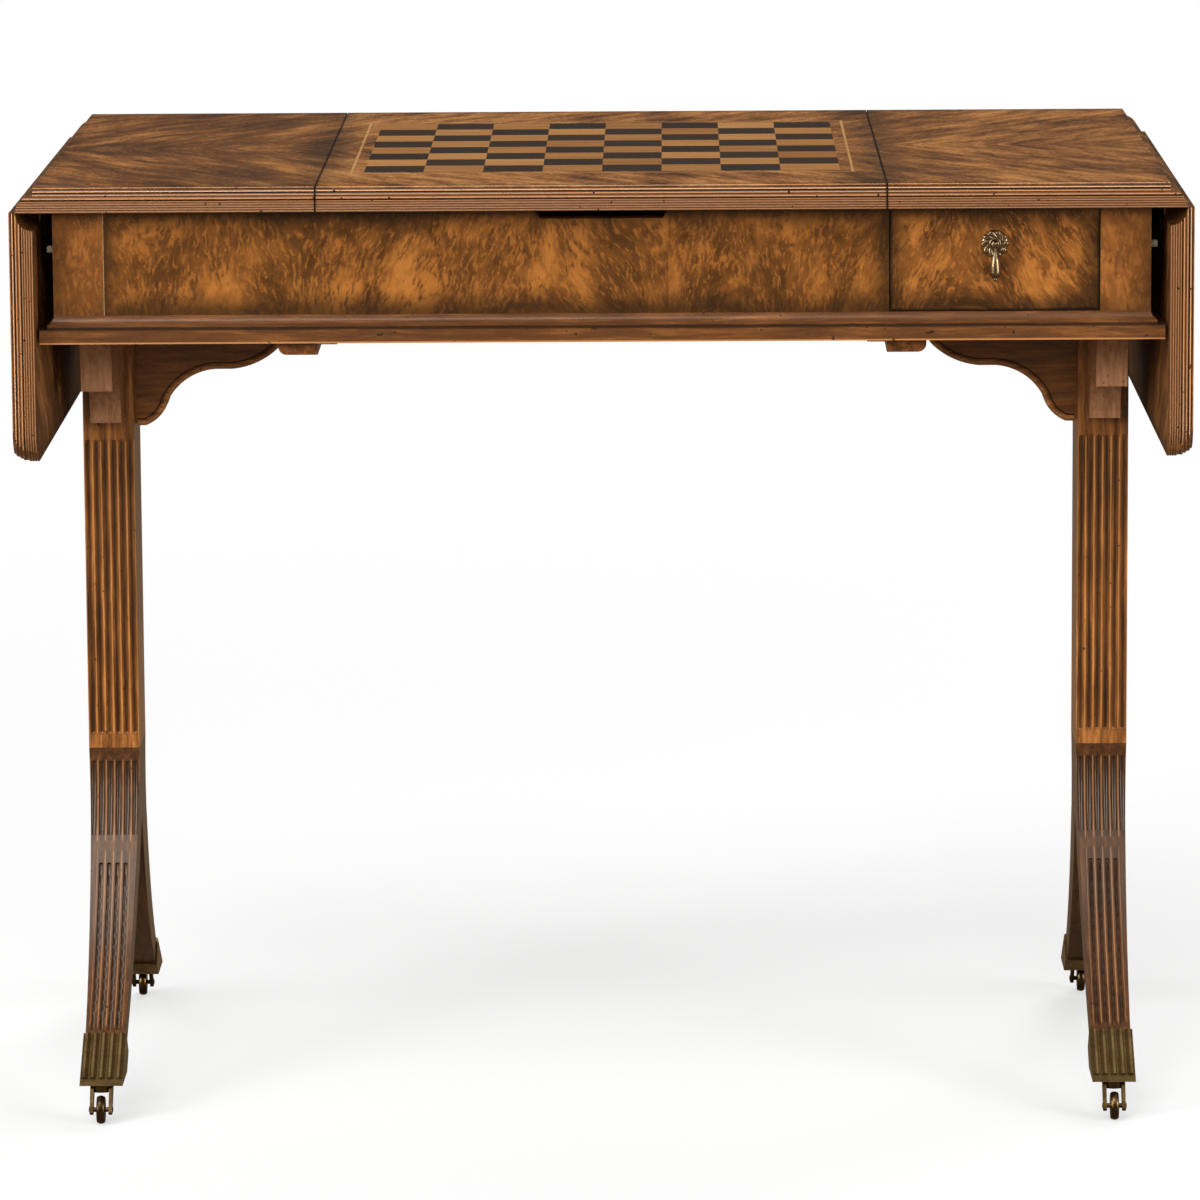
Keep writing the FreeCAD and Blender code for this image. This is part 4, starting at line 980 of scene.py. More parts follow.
def arc(centre: Flat, radius: float, angles: Iterable[float]) -> List[Flat]:
    """Return the points at some angles round a centre."""
    return [(centre[0] + radius * math.cos(angle), centre[1] + radius * math.sin(angle))
            for angle in angles]


def full_turn(steps: int) -> List[float]:
    """Return the angles of even steps round a circle."""
    return [2 * math.pi * step / steps for step in range(steps)]


def arc_between(start: Flat, end: Flat, radius: float, side: int, steps: int = 12) -> List[Flat]:
    """Find the short arc between two points.

    Args:
        start: where it starts.
        end: where it ends.
        radius: its radius.
        side: 1 if it bulges to the left of the way, -1 if to the right.
        steps: how many steps it is cut into.
    Returns:
        The points along it.
    """
    first, last = Vector(start), Vector(end)
    chord = last - first
    across = Vector((-chord.y, chord.x)).normalized()
    rise = math.sqrt(max(radius ** 2 - chord.length_squared / 4, 0.0))
    centre = (first + last) / 2 - across * side * rise
    begin = math.atan2(first.y - centre.y, first.x - centre.x)
    sweep = math.atan2(last.y - centre.y, last.x - centre.x) - begin
    sweep = (sweep + math.pi) % (2 * math.pi) - math.pi
    angles = (begin + sweep * step / steps for step in range(steps + 1))
    return arc((centre.x, centre.y), radius, angles)


def moved_inward(line: Sequence[Flat], distance: float) -> List[Flat]:
    """Move a flat line to its own left.

    Args:
        line: its points.
        distance: how far to move it.
    Returns:
        The moved points.
    """
    moved = []
    for index, (x, z) in enumerate(line):
        before, after = line[max(index - 1, 0)], line[min(index + 1, len(line) - 1)]
        run, rise = after[0] - before[0], after[1] - before[1]
        length = math.hypot(run, rise)
        moved.append((x - rise / length * distance, z + run / length * distance))
    return moved


def add_skin(work: Work, rings: Sequence[Sequence[Point]]) -> None:
    """Add a closed skin over rings of points.

    Args:
        work: the mesh under construction.
        rings: the points of each ring, from end to end.
    """
    made = [[work.verts.new(point) for point in ring] for ring in rings]
    work.faces.new(made[0])
    work.faces.new(made[-1])
    for low, high in zip(made, made[1:]):
        for first in range(len(low)):
            after = (first + 1) % len(low)
            work.faces.new((low[first], low[after], high[after], high[first]))


def add_prism(work: Work, outline: Sequence[Flat], ends: Sequence[float], order: str) -> None:
    """Add a closed prism: an outline in the first two axes of the order, drawn along the third."""
    places = [order.index(axis) for axis in "XYZ"]
    add_skin(work, [[[(*spot, end)[place] for place in places] for spot in outline]
                    for end in ends])


def closed_piece(name: str, work: Work, material: Material) -> Piece:
    """End a mesh under construction, with its faces outwards.

    Args:
        name: the piece's name.
        work: the mesh, which is used up.
        material: the piece's finish.
    Returns:
        An object with the mesh.
    """
    bmesh.ops.recalc_face_normals(work, faces=work.faces)
    mesh = bpy.data.meshes.new(name)
    work.to_mesh(mesh)
    work.free()
    mesh.materials.append(material)
    return shown(name, mesh)


# sub-assemblies

@dataclass
class Dresser:
    """Puts finishes on the nodes that keep their own shape."""

    nodes: Dict[str, Piece]

    def dress(self, finish: Finish, *names: str) -> Material:
        """Give one finish to some nodes.

        Args:
            finish: the finish.
            names: the nodes.
        Returns:
            The finish's material.
        """
        material = finish.make()
        for name in names:
            node = self.nodes[name]
            if not node.material_slots:
                node.data.materials.append(material)
            for place in node.material_slots:
                place.material = material
            LOG.info("%s finished in %s", name, material.name)
        return material

    @staticmethod
    def edges(name: str, axes: str, reach: float, strength: float) -> GlazeEdges:
        """Return the glaze round the borders of a node's own box."""
        low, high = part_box(name)
        return GlazeEdges([(axis, getattr(low, axis), getattr(high, axis)) for axis in axes],
                          reach, strength)


@dataclass
class Top:
    """The three-part top, its chessboard and the drop leaves."""

    dresser: Dresser
    setback: float = 6.0 * MM
    glaze_reach: float = 30.0 * MM
    glaze_strength: float = 0.45

    def dress(self) -> None:
        """Finish the tops, the leaves and the board."""
        use, seam = self.dresser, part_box("game_panel")[1].x
        # The game panel and the right end top get lighter tones, partly as different sheets of
        # veneer and partly as painted sheen.
        sheets = {"end_top_left": {},
                  "end_top_right": {"middle": shade(142, 95, 50), "light": shade(214, 155, 90)},
                  "game_panel": {"middle": shade(150, 101, 54), "light": shade(222, 164, 98)}}
        for name, tones in sheets.items():
            low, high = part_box(name)
            inside = (("y", low.y + self.setback, high.y - self.setback),)
            border = MouldedEdge(inside, "z", high.z, -1.0)
            glaze = use.edges(name, "xy", self.glaze_reach, self.glaze_strength)
            use.dress(FlameVeneer(name + "_veneer", Grain.ALONG_X, glaze, border, seam=seam,
                                  **tones), name)
        for name, side in (("left_leaf", -1), ("right_leaf", 1)):
            low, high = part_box(name)
            inside = (("y", low.y + self.setback, high.y - self.setback),
                      ("z", low.z + self.setback, ABOVE_TABLE))
            border = MouldedEdge(inside, "x", high.x if side > 0 else low.x, -side)
            glaze = use.edges(name, "yz", self.glaze_reach, self.glaze_strength)
            use.dress(FlameVeneer(name + "_veneer", Grain.ALONG_Z, glaze, border,
                                  (-side, 0.0, 0.0)), name)
        for node, name, dark, light in (
                ("board_light_squares", "light_squares", shade(166, 112, 54), shade(222, 168, 100)),
                ("board_dark_squares", "dark_squares", shade(24, 15, 9), shade(54, 34, 20)),
                ("board_stringing", "pale_stringing", shade(210, 162, 98), shade(240, 200, 134))):
            use.dress(BoardInlay(name, dark, light), node)


@dataclass
class Case:
    """The case: veneered front and back, posts, drawers, game well, mouldings and leaf supports."""

    dresser: Dresser
    arris: float = 0.4 * MM
    veneer_join: float = 54.0 * MM
    arch_places: Sequence[float] = (-215.0 * MM, -156.0 * MM)
    arch_foot: float = 9.0 * MM
    arch_rise: float = 10.0 * MM
    arch_reach: float = 38.0 * MM
    panel_glaze: float = 22.0 * MM
    post_glaze: float = 20.0 * MM
    drawer_gap: float = 3.2 * MM
    moulding_step: float = 10.0 * MM
    step_shade_width: float = 1.4 * MM
    foot_highlight_width: float = 1.8 * MM

    def dress(self) -> None:
        """Finish the case and what is in it."""
        self.dress_veneer()
        self.dress_frame()
        self.dress_inside()

    def dress_veneer(self) -> None:
        """Finish the long panels, the drawer fronts and the posts."""
        use = self.dresser
        names = ("front_panel", "back_panel", "front_drawer_front", "back_drawer_front")
        for number, name in enumerate(names):
            side = 1 if name.startswith("front") else -1
            if name.endswith("front"):
                own = {"gap": use.edges(name, "xz", self.drawer_gap, 1.0),
                       "middle": shade(118, 76, 35), "light": shade(164, 110, 52)}
            else:
                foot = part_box(name)[0].z + self.arch_foot
                own = {"seams": (side * self.veneer_join,),
                       "arches": [(side * x, foot + self.arch_rise * step, self.arch_reach)
                                  for step, x in enumerate(self.arch_places)]}
            glaze = use.edges(name, "xz", self.panel_glaze, 0.8)
            use.dress(FiguredVeneer(name + "_veneer", glaze, 0.3 + 0.1 * number, **own), name)
        glaze = use.edges("corner_posts", "xz", self.post_glaze, 0.55)
        use.dress(FiguredVeneer("post_veneer", glaze, 0.1, fan=0.8, dark=shade(92, 58, 27),
                                middle=shade(122, 79, 38), light=shade(150, 102, 52)),
                  "corner_posts")

    def dress_frame(self) -> None:
        """Finish the mouldings, the ends, the well's walls and the battens."""
        use = self.dresser
        low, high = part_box("base_mouldings")
        # A dark band of painted shade in the quirk under the step, and a pale painted highlight
        # along the foot.
        lines = ((high.z - self.moulding_step, self.step_shade_width, shade(24, 14, 7)),
                 (low.z, self.foot_highlight_width, shade(176, 124, 74)))
        use.dress(SolidMahogany("moulding_wood", Grain.ALONG_X, middle=shade(84, 53, 26),
                                light=shade(120, 78, 39), gloss=0.34, lines=lines),
                  "base_mouldings")
        use.dress(SolidMahogany("end_wood", Grain.ALONG_Y),
                  "end_rail_left", "end_rail_right", "well_walls", "cross_battens")

    def dress_inside(self) -> None:
        """Finish the floor of the game well, the drawers, the lopers and the buffers."""
        use = self.dresser
        use.dress(FlameVeneer("well_veneer", Grain.ALONG_Y), "well_floor")
        use.dress(BoardInlay("light_points", shade(160, 110, 56), shade(206, 156, 94)),
                  "backgammon_light_points")
        use.dress(BoardInlay("dark_points", shade(28, 17, 11), shade(62, 37, 22)),
                  "backgammon_dark_points")
        use.dress(PlainLining("drawer_wood", Grain.ALONG_Y),
                  "front_drawer_carcass", "back_drawer_carcass", "front_drawer_bottom",
                  "back_drawer_bottom", "drawer_runners", "case_floor")
        use.dress(PlainLining("loper_wood", Grain.ALONG_X, shade(96, 62, 34), shade(150, 106, 64)),
                  "loper_guides", *("loper_" + corner for corner in CORNERS))
        use.dress(SoftRubber("buffer_rubber"), "leaf_buffers")

    def add_arris(self) -> None:
        """Add a pale line down the inner edge of the stiles beside the long panels, a painted
        highlight on the arris.
        """
        low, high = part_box("front_panel")
        ends = (low.z + self.arris, high.z - self.arris)
        lines = [[(side * abs(low.x), side * abs(low.y), z) for z in ends] for side in SIDES]
        # The pale line is a painted highlight on the arris.
        finish = BoardInlay("arris_highlight", shade(104, 86, 62), shade(150, 130, 102))
        attach(bead_lines("stile_arris_highlight", lines, self.arris, finish.make()), "table", "light_inlay")


@dataclass
class PillarEnds:
    """The fluted pillars with their corbels, spandrel brackets and sabre legs."""

    dresser: Dresser
    bead: float = 2.6 * MM
    quirk: float = 0.8 * MM
    flutes: int = 6
    flute_pitch: float = 7.1 * MM
    flute_rise: float = 13.5 * MM
    flute_drop: float = 117.5 * MM
    reeds: int = 4
    reed_pitch: float = 7.0 * MM
    reed_margin: float = 6.0 * MM
    knee: float = 199.5 * MM
    knee_rise: float = 3.0 * MM
    knee_drop: float = 11.0 * MM
    ankle: float = 62.0 * MM
    bracket_marks: Sequence[Flat] = ((122 * MM, 38 * MM), (82 * MM, 57 * MM), (68 * MM, 57 * MM),
                                     (26 * MM, 84 * MM), (8 * MM, 105 * MM))
    bracket_radii: Point = (62 * MM, 52 * MM, 30 * MM)

    def dress(self) -> None:
        """Finish the pillars and what is fixed to them."""
        use = self.dresser
        low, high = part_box("pillar_right")
        middle, foot = (low.x + high.x) / 2, low.z
        # The pillars' flutes get painted shade in the grooves and painted highlights on the crests.
        row = (self.flutes, self.flute_pitch, foot + self.flute_rise, high.z - self.flute_drop)
        use.dress(SolidMahogany("pillar_wood", Grain.ALONG_Z, middle=shade(124, 81, 41),
                                light=shade(180, 124, 66), gloss=0.24,
                                fluting=Fluting(middle, (row,))), "pillar_left", "pillar_right")
        # The corbels' lighter tones are a painted reflection of the bright floor below them.
        use.dress(SolidMahogany("corbel_wood_painted_reflection", Grain.ALONG_Z, dark=shade(138, 101, 74),
                                middle=shade(162, 122, 91), light=shade(184, 144, 110),
                                gloss=0.16), "corbels")
        use.dress(SolidMahogany("bracket_wood", Grain.ALONG_X, middle=shade(112, 71, 33),
                                light=shade(138, 88, 42)), "spandrel_brackets")
        # The legs' flutes and reeds get painted shade in the grooves and painted highlights on the
        # crests.
        rows = ((self.flutes, self.flute_pitch,
                 self.knee + self.knee_rise, foot - self.knee_drop),
                (self.reeds, self.reed_pitch,
                 self.ankle + self.reed_margin, self.knee - self.reed_margin))
        use.dress(SolidMahogany("leg_wood", Grain.ALONG_Z, dark=shade(44, 28, 15),
                                middle=shade(68, 43, 22), light=shade(98, 64, 34),
                                painted_highlight=shade(170, 132, 98), gloss=0.26, polish=0.18,
                                fluting=Fluting(middle, rows), lean=0.62),
                  *("leg_" + corner for corner in CORNERS))

    def bracket_edge(self) -> List[Flat]:
        """Find the curved lower edge of the right bracket, from its toe to the pillar.

        Returns:
            The points along it, as (x, z).
        """
        _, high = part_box("spandrel_brackets")
        marks = [(high.x - out, high.z - down) for out, down in self.bracket_marks]
        toe, flat_out, flat_in, nose, chin = marks
        toe_radius, nose_radius, chin_radius = self.bracket_radii
        line = [(toe[0], high.z - self.bead)]
        line += arc_between(toe, flat_out, toe_radius, -1)
        line += arc_between(flat_in, nose, nose_radius, 1)
        line += arc_between(nose, chin, chin_radius, -1)[1:]
        return line + [(high.x - self.bead * 0.5, chin[1])]

    def add_beads(self) -> None:
        """Add the bead along the curved edge of each bracket, lighter as a painted highlight, and
        beside it a dark line of painted shade for the quirk.
        """
        edge, inset = self.bracket_edge(), self.bead * 0.35
        raised, beside = [(x, z + inset) for x, z in edge], moved_inward(edge, self.bead * 1.55)
        # The bead is lighter than the bracket: a painted highlight on its round.
        wood = SolidMahogany("bead_wood_lit", Grain.ALONG_X, dark=shade(110, 74, 42),
                             middle=shade(154, 108, 66), light=shade(196, 148, 100), gloss=0.22)
        # A dark line of painted shade where the quirk beside the bead lies.
        glaze = SolidMahogany("quirk_shade", Grain.ALONG_X, dark=shade(20, 12, 7),
                              middle=shade(30, 18, 10), light=shade(44, 27, 15), gloss=0.4)
        self.add_line("bracket_beads", raised, inset, self.bead, wood)
        self.add_line("bracket_quirk_shade", beside, self.quirk * 0.7, self.quirk, glaze)

    @staticmethod
    def add_line(name: str, line: Sequence[Flat], sunk: float, radius: float,
                 finish: Finish) -> None:
        """Add one line to both faces of both brackets.

        Args:
            name: the piece's name.
            line: the line on the right bracket, as (x, z).
            sunk: how far its middle lies behind the face.
            radius: its radius.
            finish: its finish.
        """
        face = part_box("spandrel_brackets")[1].y - sunk
        lines = [[(side * x, way * face, z) for x, z in line] for side in SIDES for way in SIDES]
        attach(bead_lines(name, lines, radius, finish.make()), "table", "mahogany")


@dataclass
class Hinges:
    """The rule-joint hinges and the batten plates, with their screws."""

    dresser: Dresser
    middle: float = 205.0 * MM
    spread: float = 17.0 * MM
    screw: float = 2.6 * MM
    axis_inset: float = 14.0 * MM
    leaf_rows: Sequence[float] = (9.0 * MM, 24.0 * MM)
    table_rows: Sequence[float] = (14.0 * MM, 28.0 * MM)
    plate_rows: Sequence[float] = (9.0 * MM, 31.0 * MM)
    plate_inset: float = 8.0 * MM
    flap_end: float = 5.0 * MM

    def dress(self) -> None:
        """Finish the brass and add the screws."""
        brass = self.dresser.dress(
            AntiqueBrass("hinge_metal", shade(112, 88, 38), shade(206, 168, 88), 60.0),
            "left_leaf_hinge_flaps", "right_leaf_hinge_flaps", "table_hinge_flaps", "hinge_pins",
            "batten_plates")
        across = [side * self.middle + step * self.spread for side in SIDES for step in SIDES]
        down = (math.pi, 0.0, 0.0)
        for leaf, side in (("left_leaf", -1), ("right_leaf", 1)):
            flaps = leaf + "_hinge_flaps"
            face, foot = self.flap_face(flaps, side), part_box(flaps)[0].z
            places = [(face, y, foot + row) for y in across for row in self.leaf_rows]
            turn = (0.0, -side * math.pi / 2, 0.0)
            screws = screw_heads(leaf + "_screws", places, turn, self.screw, brass)
            attach(screws, leaf, "hinge_brass")
        low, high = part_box("end_top_right")
        axis = high.x - self.axis_inset
        places = [(side * (axis - row), y, low.z)
                  for side in SIDES for y in across for row in self.table_rows]
        screws = screw_heads("table_flap_screws", places, down, self.screw, brass)
        attach(screws, "table", "hinge_brass")
        low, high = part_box("batten_plates")
        places = [(side * (high.x - self.plate_inset), end * (high.y - row), low.z)
                  for side in SIDES for end in SIDES for row in self.plate_rows]
        screws = screw_heads("plate_screws", places, down, self.screw, brass)
        attach(screws, "table", "hinge_brass")

    def flap_face(self, name: str, side: int) -> float:
        """Find the bare face of a hanging flap's plate.

        Args:
            name: the flaps' node.
            side: -1 for the left leaf, 1 for the right.
        Returns:
            Where the face lies along X.
        """
        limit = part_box(name)[0].z + self.flap_end
        vertices = self.dresser.nodes[name].data.vertices
        corners = [vertex.co.x for vertex in vertices if vertex.co.z < limit]
        return min(corners, key=lambda x: x * side)


@dataclass
class Casters:
    """The lobed caps, horned forks and wheels, with the rivets that hold them."""

    dresser: Dresser
    swivel_y: float = 226.0 * MM
    prong_outside: float = 9.3 * MM
    prong_thick: float = 3.0 * MM
    prong_lap: float = 1.2 * MM
    head_half: float = 8.6 * MM
    head_low: float = 24.6 * MM
    head_high: float = 30.6 * MM
    eye: float = 4.4 * MM
    axle: float = 2.0 * MM
    rivet: float = 3.0 * MM
    rounding: float = 0.5 * MM

    def dress(self) -> None:
        """Finish the brass and add the forks and their rivets."""
        use = self.dresser
        use.dress(AntiqueBrass("cap_metal", shade(106, 90, 56), shade(170, 150, 106), 45.0),
                  "caster_caps")
        worn = use.dress(AntiqueBrass("wheel_metal", shade(52, 42, 28), shade(104, 88, 60), 90.0),
                         *("caster_wheel_" + corner for corner in CORNERS))
        for corner in CORNERS:
            body = "caster_" + corner
            low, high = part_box("caster_wheel_" + corner)
            centre = (low + high) / 2
            fork = self.fork("fork_" + corner, centre, -1 if corner.endswith("front") else 1, worn)
            attach(fork, body, "caster_brass", "caster_fork_" + corner)
            places = [(centre.x + side * self.prong_outside, centre.y, centre.z) for side in SIDES]
            attach(self.rivets("caster_rivets_" + corner, places, worn), body, "caster_brass")

    def fork(self, name: str, axle: Vector, way: int, material: Material) -> Piece:
        """Make one horned fork: a head under the cap, two prongs and the axle through them.

        Args:
            name: the piece's name.
            axle: the middle of the wheel.
            way: -1 where the caster trails to the front, 1 to the back.
            material: the fork's finish.
        Returns:
            The fork at its place.
        """
        work, swivel, hub = bmesh.new(), way * self.swivel_y, (axle.y, axle.z)
        disc = arc((swivel, 0.0), self.head_half, full_turn(24))
        head = [(axle.x + x * 1.08, y) for y, x in disc]
        add_prism(work, head, (self.head_low, self.head_high), "XYZ")
        half, top = self.head_half * 0.86, self.head_high - self.prong_lap
        under = arc(hub, self.eye, (math.pi * (1.12 + 0.76 * step / 10) for step in range(11)))
        for side in SIDES:
            outer = axle.x + side * self.prong_outside
            ends = sorted((outer - side * self.prong_thick, outer))
            add_prism(work, [(swivel + half, top), (swivel - half, top), *under], ends, "YZX")
        shaft = (axle.x - self.prong_outside, axle.x + self.prong_outside)
        add_prism(work, arc(hub, self.axle, full_turn(16)), shaft, "YZX")
        edges = [edge for edge in work.edges
                 if len(edge.link_faces) == 2 and edge.calc_face_angle() > 0.9]
        bmesh.ops.bevel(work, geom=edges, offset=self.rounding, segments=2, affect="EDGES")
        return closed_piece(name, work, material)

    def rivets(self, name: str, places: Sequence[Point], material: Material) -> Piece:
        """Make domed rivet heads across the axle.

        Args:
            name: the piece's name.
            places: the middle of each head.
            material: the heads' finish.
        Returns:
            One object with all the heads.
        """
        form = Former(name + "_form")
        dome = form.ball(form.size("Rivet radius", self.rivet), 16, 8, Scale=(0.3, 1.0, 1.0))
        form.close(form.copies(form.inputs, dome), material)
        return form.grow(name, point_mesh(name + "_places", places))


@dataclass
class DrawerPull:
    """The brass of one pull: a rosette of swirling lobes with a slotted post."""

    end: str
    lobes: int = 10
    inner: float = 3.2 * MM
    outer: float = 10.6 * MM
    lobe: float = 2.9 * MM
    sweep: float = 0.13
    lobe_level: float = 2.4 * MM
    dish_level: float = 1.0 * MM
    foot: float = 1.4 * MM
    collar: float = 0.9 * MM
    collar_level: float = 4.6 * MM
    post: float = 3.2 * MM
    post_start: float = 3.0 * MM
    slot: float = 2.6 * MM
    reach: float = 12.0 * MM
    crown: Sequence[Flat] = ((1.2 * MM, 1.0), (0.4 * MM, 0.86), (0.0, 0.6))
    pin: float = 0.9 * MM
    pin_depth: float = 3.2 * MM

    def add(self, brass: Material) -> None:
        """Put the rosette and its post in the place of the plain rosette.

        Args:
            brass: their finish.
        """
        low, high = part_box(self.end + "_pull_rosette")
        front = self.end == "front"
        place = Vector(((low.x + high.x) / 2, high.y if front else low.y, (low.z + high.z) / 2))
        about = Matrix.Rotation(0.0 if front else math.pi, 4, "Z")
        about = Matrix.Translation(place) @ about @ Matrix.Rotation(math.pi / 2, 4, "X")
        rosette, post = self.rosette(brass), self.post_piece(brass)
        for piece in (rosette, post):
            piece.data.transform(about)
            piece.data.update()
        attach(rosette, self.end + "_drawer", "pull_brass", self.end + "_pull_rosette")
        attach(post, self.end + "_drawer", "pull_brass")

    def rosette(self, brass: Material) -> Piece:
        """Make the swirl of lobes on its dish, with a collar round the post.

        Args:
            brass: the finish.
        Returns:
            The rosette, facing up at the origin.
        """
        form = Former(self.end + "_rosette_form")
        count = form.size("Lobes", self.lobes, "NodeSocketInt")
        inner, outer = form.size("Inner radius", self.inner), form.size("Outer radius", self.outer)
        thick, sweep = form.size("Lobe radius", self.lobe), form.size("Sweep", self.sweep)
        wire = form.size("Collar radius", self.collar)
        spine = form.node("GeometryNodeCurveSpiral", None, {
            "Resolution": 110, "Rotations": sweep, "Start Radius": inner, "End Radius": outer,
            "Height": 0.0, "Reverse": True})
        along = form.node("GeometryNodeSplineParameter")
        swell = (along * 0.66 + 0.34) * (1.0 - along ** 9.0).most(0.02) ** 0.5
        lobe = form.moved(form.tube(spine, thick, swell, 12), Scale=(1.0, 1.0, 0.8))
        turn = form.packed(z=form.node("GeometryNodeInputIndex") * (2 * math.pi) / count)
        points = form.node("GeometryNodePoints", None, {"Count": count})
        ring = form.moved(form.copies(points, lobe, Rotation=turn),
                          Translation=(0.0, 0.0, self.lobe_level))
        dish = form.ball(outer, 40, 14, Scale=(1.04, 1.04, 0.26),
                         Translation=(0.0, 0.0, self.dish_level))
        foot = form.node("GeometryNodeMeshCylinder", None,
                         {"Vertices": 40, "Radius": outer, "Depth": self.foot})
        foot = form.moved(foot, Translation=(0.0, 0.0, self.foot / 2))
        hoop = form.node("GeometryNodeCurvePrimitiveCircle", None,
                         {"Resolution": 32, "Radius": inner + wire})
        hoop = form.moved(form.tube(hoop, wire), Translation=(0.0, 0.0, self.collar_level))
        form.close(form.joined(ring, dish, foot, hoop), brass)
        return form.grow(self.end + "_rosette")

    def post_piece(self, brass: Material) -> Piece:
        """Make the slotted post and its cross pin.

        Args:
            brass: the finish.
        Returns:
            The post, standing up at the origin.
        """
        work = bmesh.new()
        half = math.acos(self.slot / 2 / self.post)
        levels = [(self.post_start, 1.0)]
        levels += [(self.reach - drop, inset) for drop, inset in self.crown]
        for side in SIDES:
            wall = side * self.slot / 2
            rim = [(side * x, y) for x, y in
                   arc((0.0, 0.0), self.post, (half * step / 8 for step in range(-8, 9)))]
            add_skin(work, [[(wall + (x - wall) * inset, y * inset, height) for x, y in rim]
                            for height, inset in levels])
        across = Matrix.Translation((0.0, 0.0, self.reach - self.pin_depth))
        across = across @ Matrix.Rotation(math.pi / 2, 4, "Y")
        bmesh.ops.create_cone(work, cap_ends=True, segments=16, radius1=self.pin,
                              radius2=self.pin, depth=self.post * 1.7, matrix=across)
        return closed_piece(self.end + "_post", work, brass)


# studio

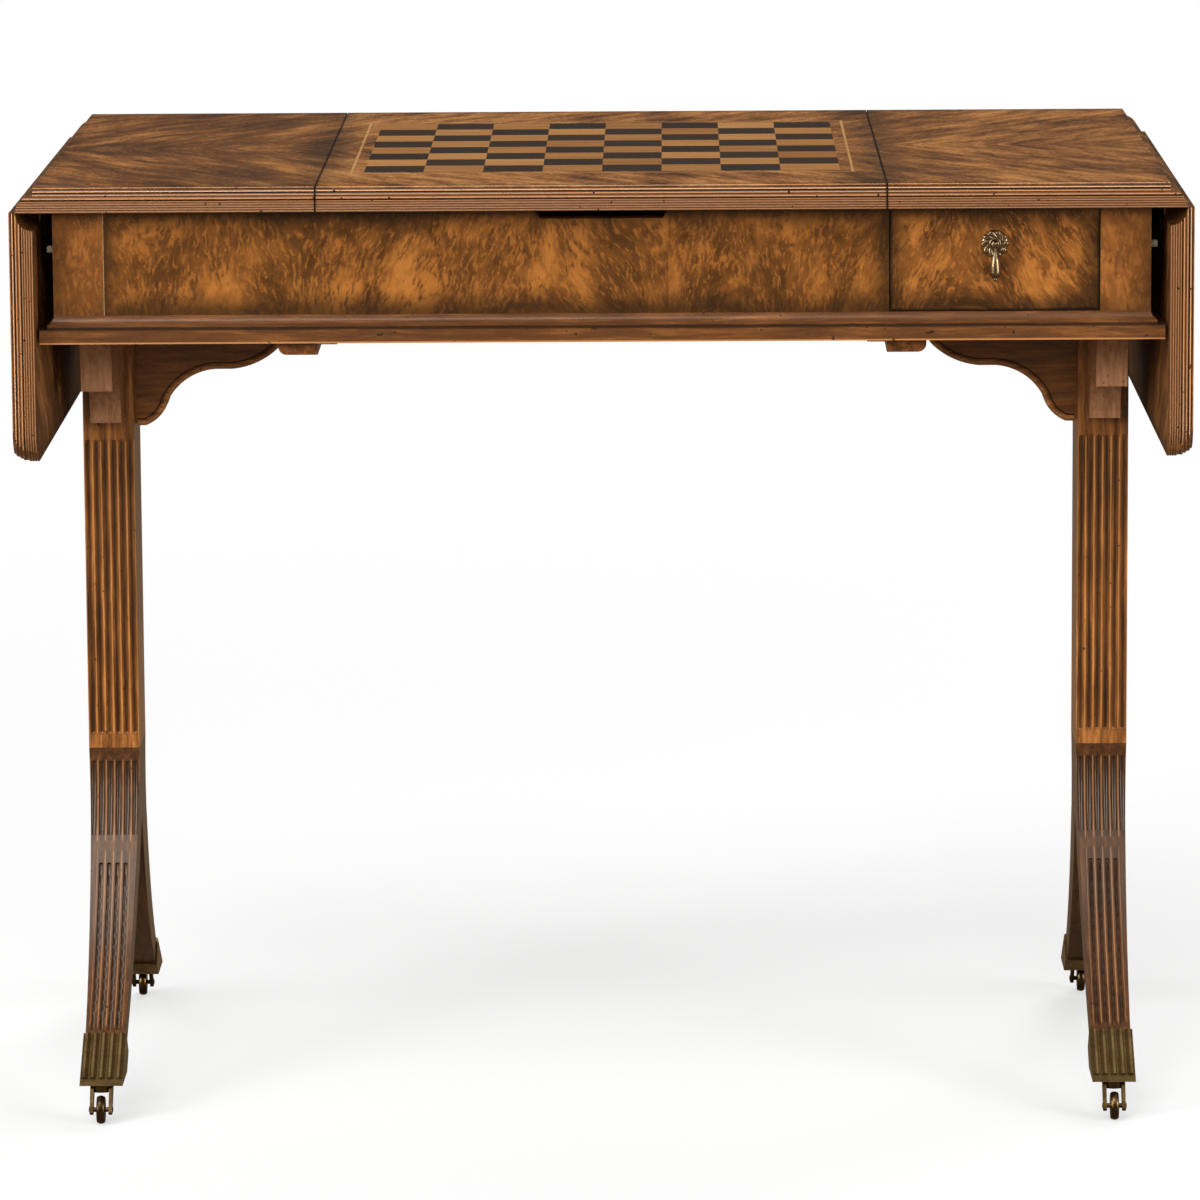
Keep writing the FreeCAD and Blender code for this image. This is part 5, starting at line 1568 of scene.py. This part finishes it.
@dataclass
class Studio:
    """A pale floor, soft lights and the camera."""

    camera_place: Point = (0.0535, -5.9229, 1.4048)
    pitch: float = 9.645
    yaw: float = 0.574
    roll: float = -0.368
    lens: float = 210.97
    sensor: float = 36.0
    sky_power: float = 1.3
    sky_angle: float = 36.0
    sky_place: Point = (-1.2, -2.2, 4.0)
    aim: Point = (0.0, 0.0, 0.5)
    warmth: Point = (1.0, 0.86, 0.73)
    boxes: Sequence[Tuple[str, Point, float, float, float]] = (
        ("key", (-3.3, -2.6, 1.9), 1.2, 2.2, 120.0), ("fill", (3.5, -2.4, 1.6), 1.2, 2.2, 95.0),
        ("front", (-0.5, -5.0, 2.1), 3.2, 1.3, 180.0), ("rear", (1.6, 3.4, 3.6), 2.8, 1.6, 110.0))
    matt_boxes: Sequence[str] = ("front", "rear")
    floor_reach: float = 40.0
    floor_shown: Colour = (0.66, 0.77, 0.9, 1.0)
    floor_dim: Colour = (0.16, 0.13, 0.1, 1.0)
    white: Colour = (1.0, 1.0, 1.0, 1.0)

    def build(self) -> None:
        """Make the whole studio."""
        self.add_floor()
        self.add_surround()
        self.add_lights()
        self.add_camera()

    def add_floor(self) -> None:
        """Add the plain pale floor, which runs out into the white of the backdrop."""
        mesh, reach = bpy.data.meshes.new("floor"), self.floor_reach
        corners = [(-reach, -reach, 0), (reach, -reach, 0), (reach, reach, 0), (-reach, reach, 0)]
        mesh.from_pydata(corners, [], [(0, 1, 2, 3)])
        floor = shown("floor", mesh)
        paint = Paint("floor_paint")
        x, y, _ = paint.axes()
        share = ((x * x + y * y) ** 0.5).fade(0.9, 3.2) * 0.5 + 0.5
        pale = paint.node("ShaderNodeBsdfDiffuse", None, {"Color": self.floor_shown})
        glow = paint.node("ShaderNodeEmission", None, {"Color": self.white})
        dim = paint.node("ShaderNodeBsdfDiffuse", None, {"Color": self.floor_dim})
        seen = paint.node("ShaderNodeMixShader", None, {0: share, 1: pale, 2: glow})
        self.seen_as(paint, dim, seen, "ShaderNodeOutputMaterial")
        mesh.materials.append(paint.material)

    def add_surround(self) -> None:
        """Add a white backdrop, with the room round it bright overhead and dim at the sides."""
        world = bpy.data.worlds.new("surround")
        bpy.context.scene.world = world
        world.use_nodes = True
        graph = Graph(world.node_tree)
        graph.tree.nodes.clear()
        way = graph.node("ShaderNodeTexCoord", out="Generated")
        height = graph.node("ShaderNodeSeparateXYZ", None, {0: way}, out="Z")
        strength = height.fade(0.1, 0.9) * 0.55 + 0.05
        room = graph.node("ShaderNodeBackground", None,
                          {"Color": (*self.warmth, 1.0), "Strength": strength})
        backdrop = graph.node("ShaderNodeBackground", None, {"Color": self.white})
        self.seen_as(graph, room, backdrop, "ShaderNodeOutputWorld")

    @staticmethod
    def seen_as(graph: Graph, lit: Link, seen: Link, output: str) -> None:
        """End a graph with one shader that lights the table and another that is seen.

        Args:
            graph: the graph.
            lit: the shader that lights the table.
            seen: the shader that is seen.
            output: the type of the graph's last node.
        """
        direct = graph.node("ShaderNodeLightPath", out="Is Camera Ray")
        both = graph.node("ShaderNodeMixShader", None, {0: direct, 1: lit, 2: seen})
        graph.node(output, None, {"Surface": both})

    def add_lights(self) -> None:
        """Add a broad soft sky light and the soft boxes."""
        sky = bpy.data.lights.new("sky", "SUN")
        sky.energy = self.sky_power
        sky.angle = math.radians(self.sky_angle)
        self.place_lamp(sky, self.sky_place)
        for name, place, wide, high, power in self.boxes:
            box = bpy.data.lights.new(name, "AREA")
            box.shape = "RECTANGLE"
            box.energy = power
            box.size, box.size_y = wide, high
            self.place_lamp(box, place).visible_glossy = name not in self.matt_boxes

    def place_lamp(self, light: bpy.types.Light, place: Point) -> Piece:
        """Put a warm light at a place, turned to the table.

        Args:
            light: the light.
            place: where it stands.
        Returns:
            The light's object.
        """
        light.color = self.warmth
        lamp = bpy.data.objects.new(light.name, light)
        lamp.location = place
        lamp.rotation_euler = (Vector(self.aim) - Vector(place)).to_track_quat("-Z", "Y").to_euler()
        bpy.context.scene.collection.objects.link(lamp)
        return lamp

    def add_camera(self) -> None:
        """Add the camera at the photographed angle."""
        yaw, pitch, roll = (math.radians(angle) for angle in (self.yaw, self.pitch, self.roll))
        right = Vector((math.cos(yaw), math.sin(yaw), 0.0))
        ahead = Vector((-math.sin(yaw), math.cos(yaw), 0.0))
        high = Vector((0.0, 0.0, 1.0))
        forward = ahead * math.cos(pitch) - high * math.sin(pitch)
        up = ahead * math.sin(pitch) + high * math.cos(pitch)
        right, up = (right * math.cos(roll) + up * math.sin(roll),
                     up * math.cos(roll) - right * math.sin(roll))
        data = bpy.data.cameras.new("camera")
        data.sensor_width = self.sensor
        data.lens = self.lens
        camera = bpy.data.objects.new("camera", data)
        axes = Matrix((right, up, -forward)).transposed().to_4x4()
        camera.matrix_world = Matrix.Translation(Vector(self.camera_place)) @ axes
        bpy.context.scene.collection.objects.link(camera)
        bpy.context.scene.camera = camera


def main() -> None:
    """Load the frame, dress every piece and set up the studio."""
    logging.basicConfig(level=logging.INFO, format="%(name)s: %(message)s")
    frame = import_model()
    dresser = Dresser(frame["nodes"])
    Top(dresser).dress()
    case = Case(dresser)
    case.dress()
    case.add_arris()
    ends = PillarEnds(dresser)
    ends.dress()
    ends.add_beads()
    Hinges(dresser).dress()
    Casters(dresser).dress()
    pull_metal = AntiqueBrass("pull_metal", shade(70, 60, 44), shade(168, 152, 124), 160.0)
    brass = dresser.dress(pull_metal, "front_pull_drop", "back_pull_drop")
    for end in ("front", "back"):
        DrawerPull(end).add(brass)
    Studio().build()
    bpy.context.scene.view_settings.view_transform = "Standard"


if __name__ == "__main__":
    main()
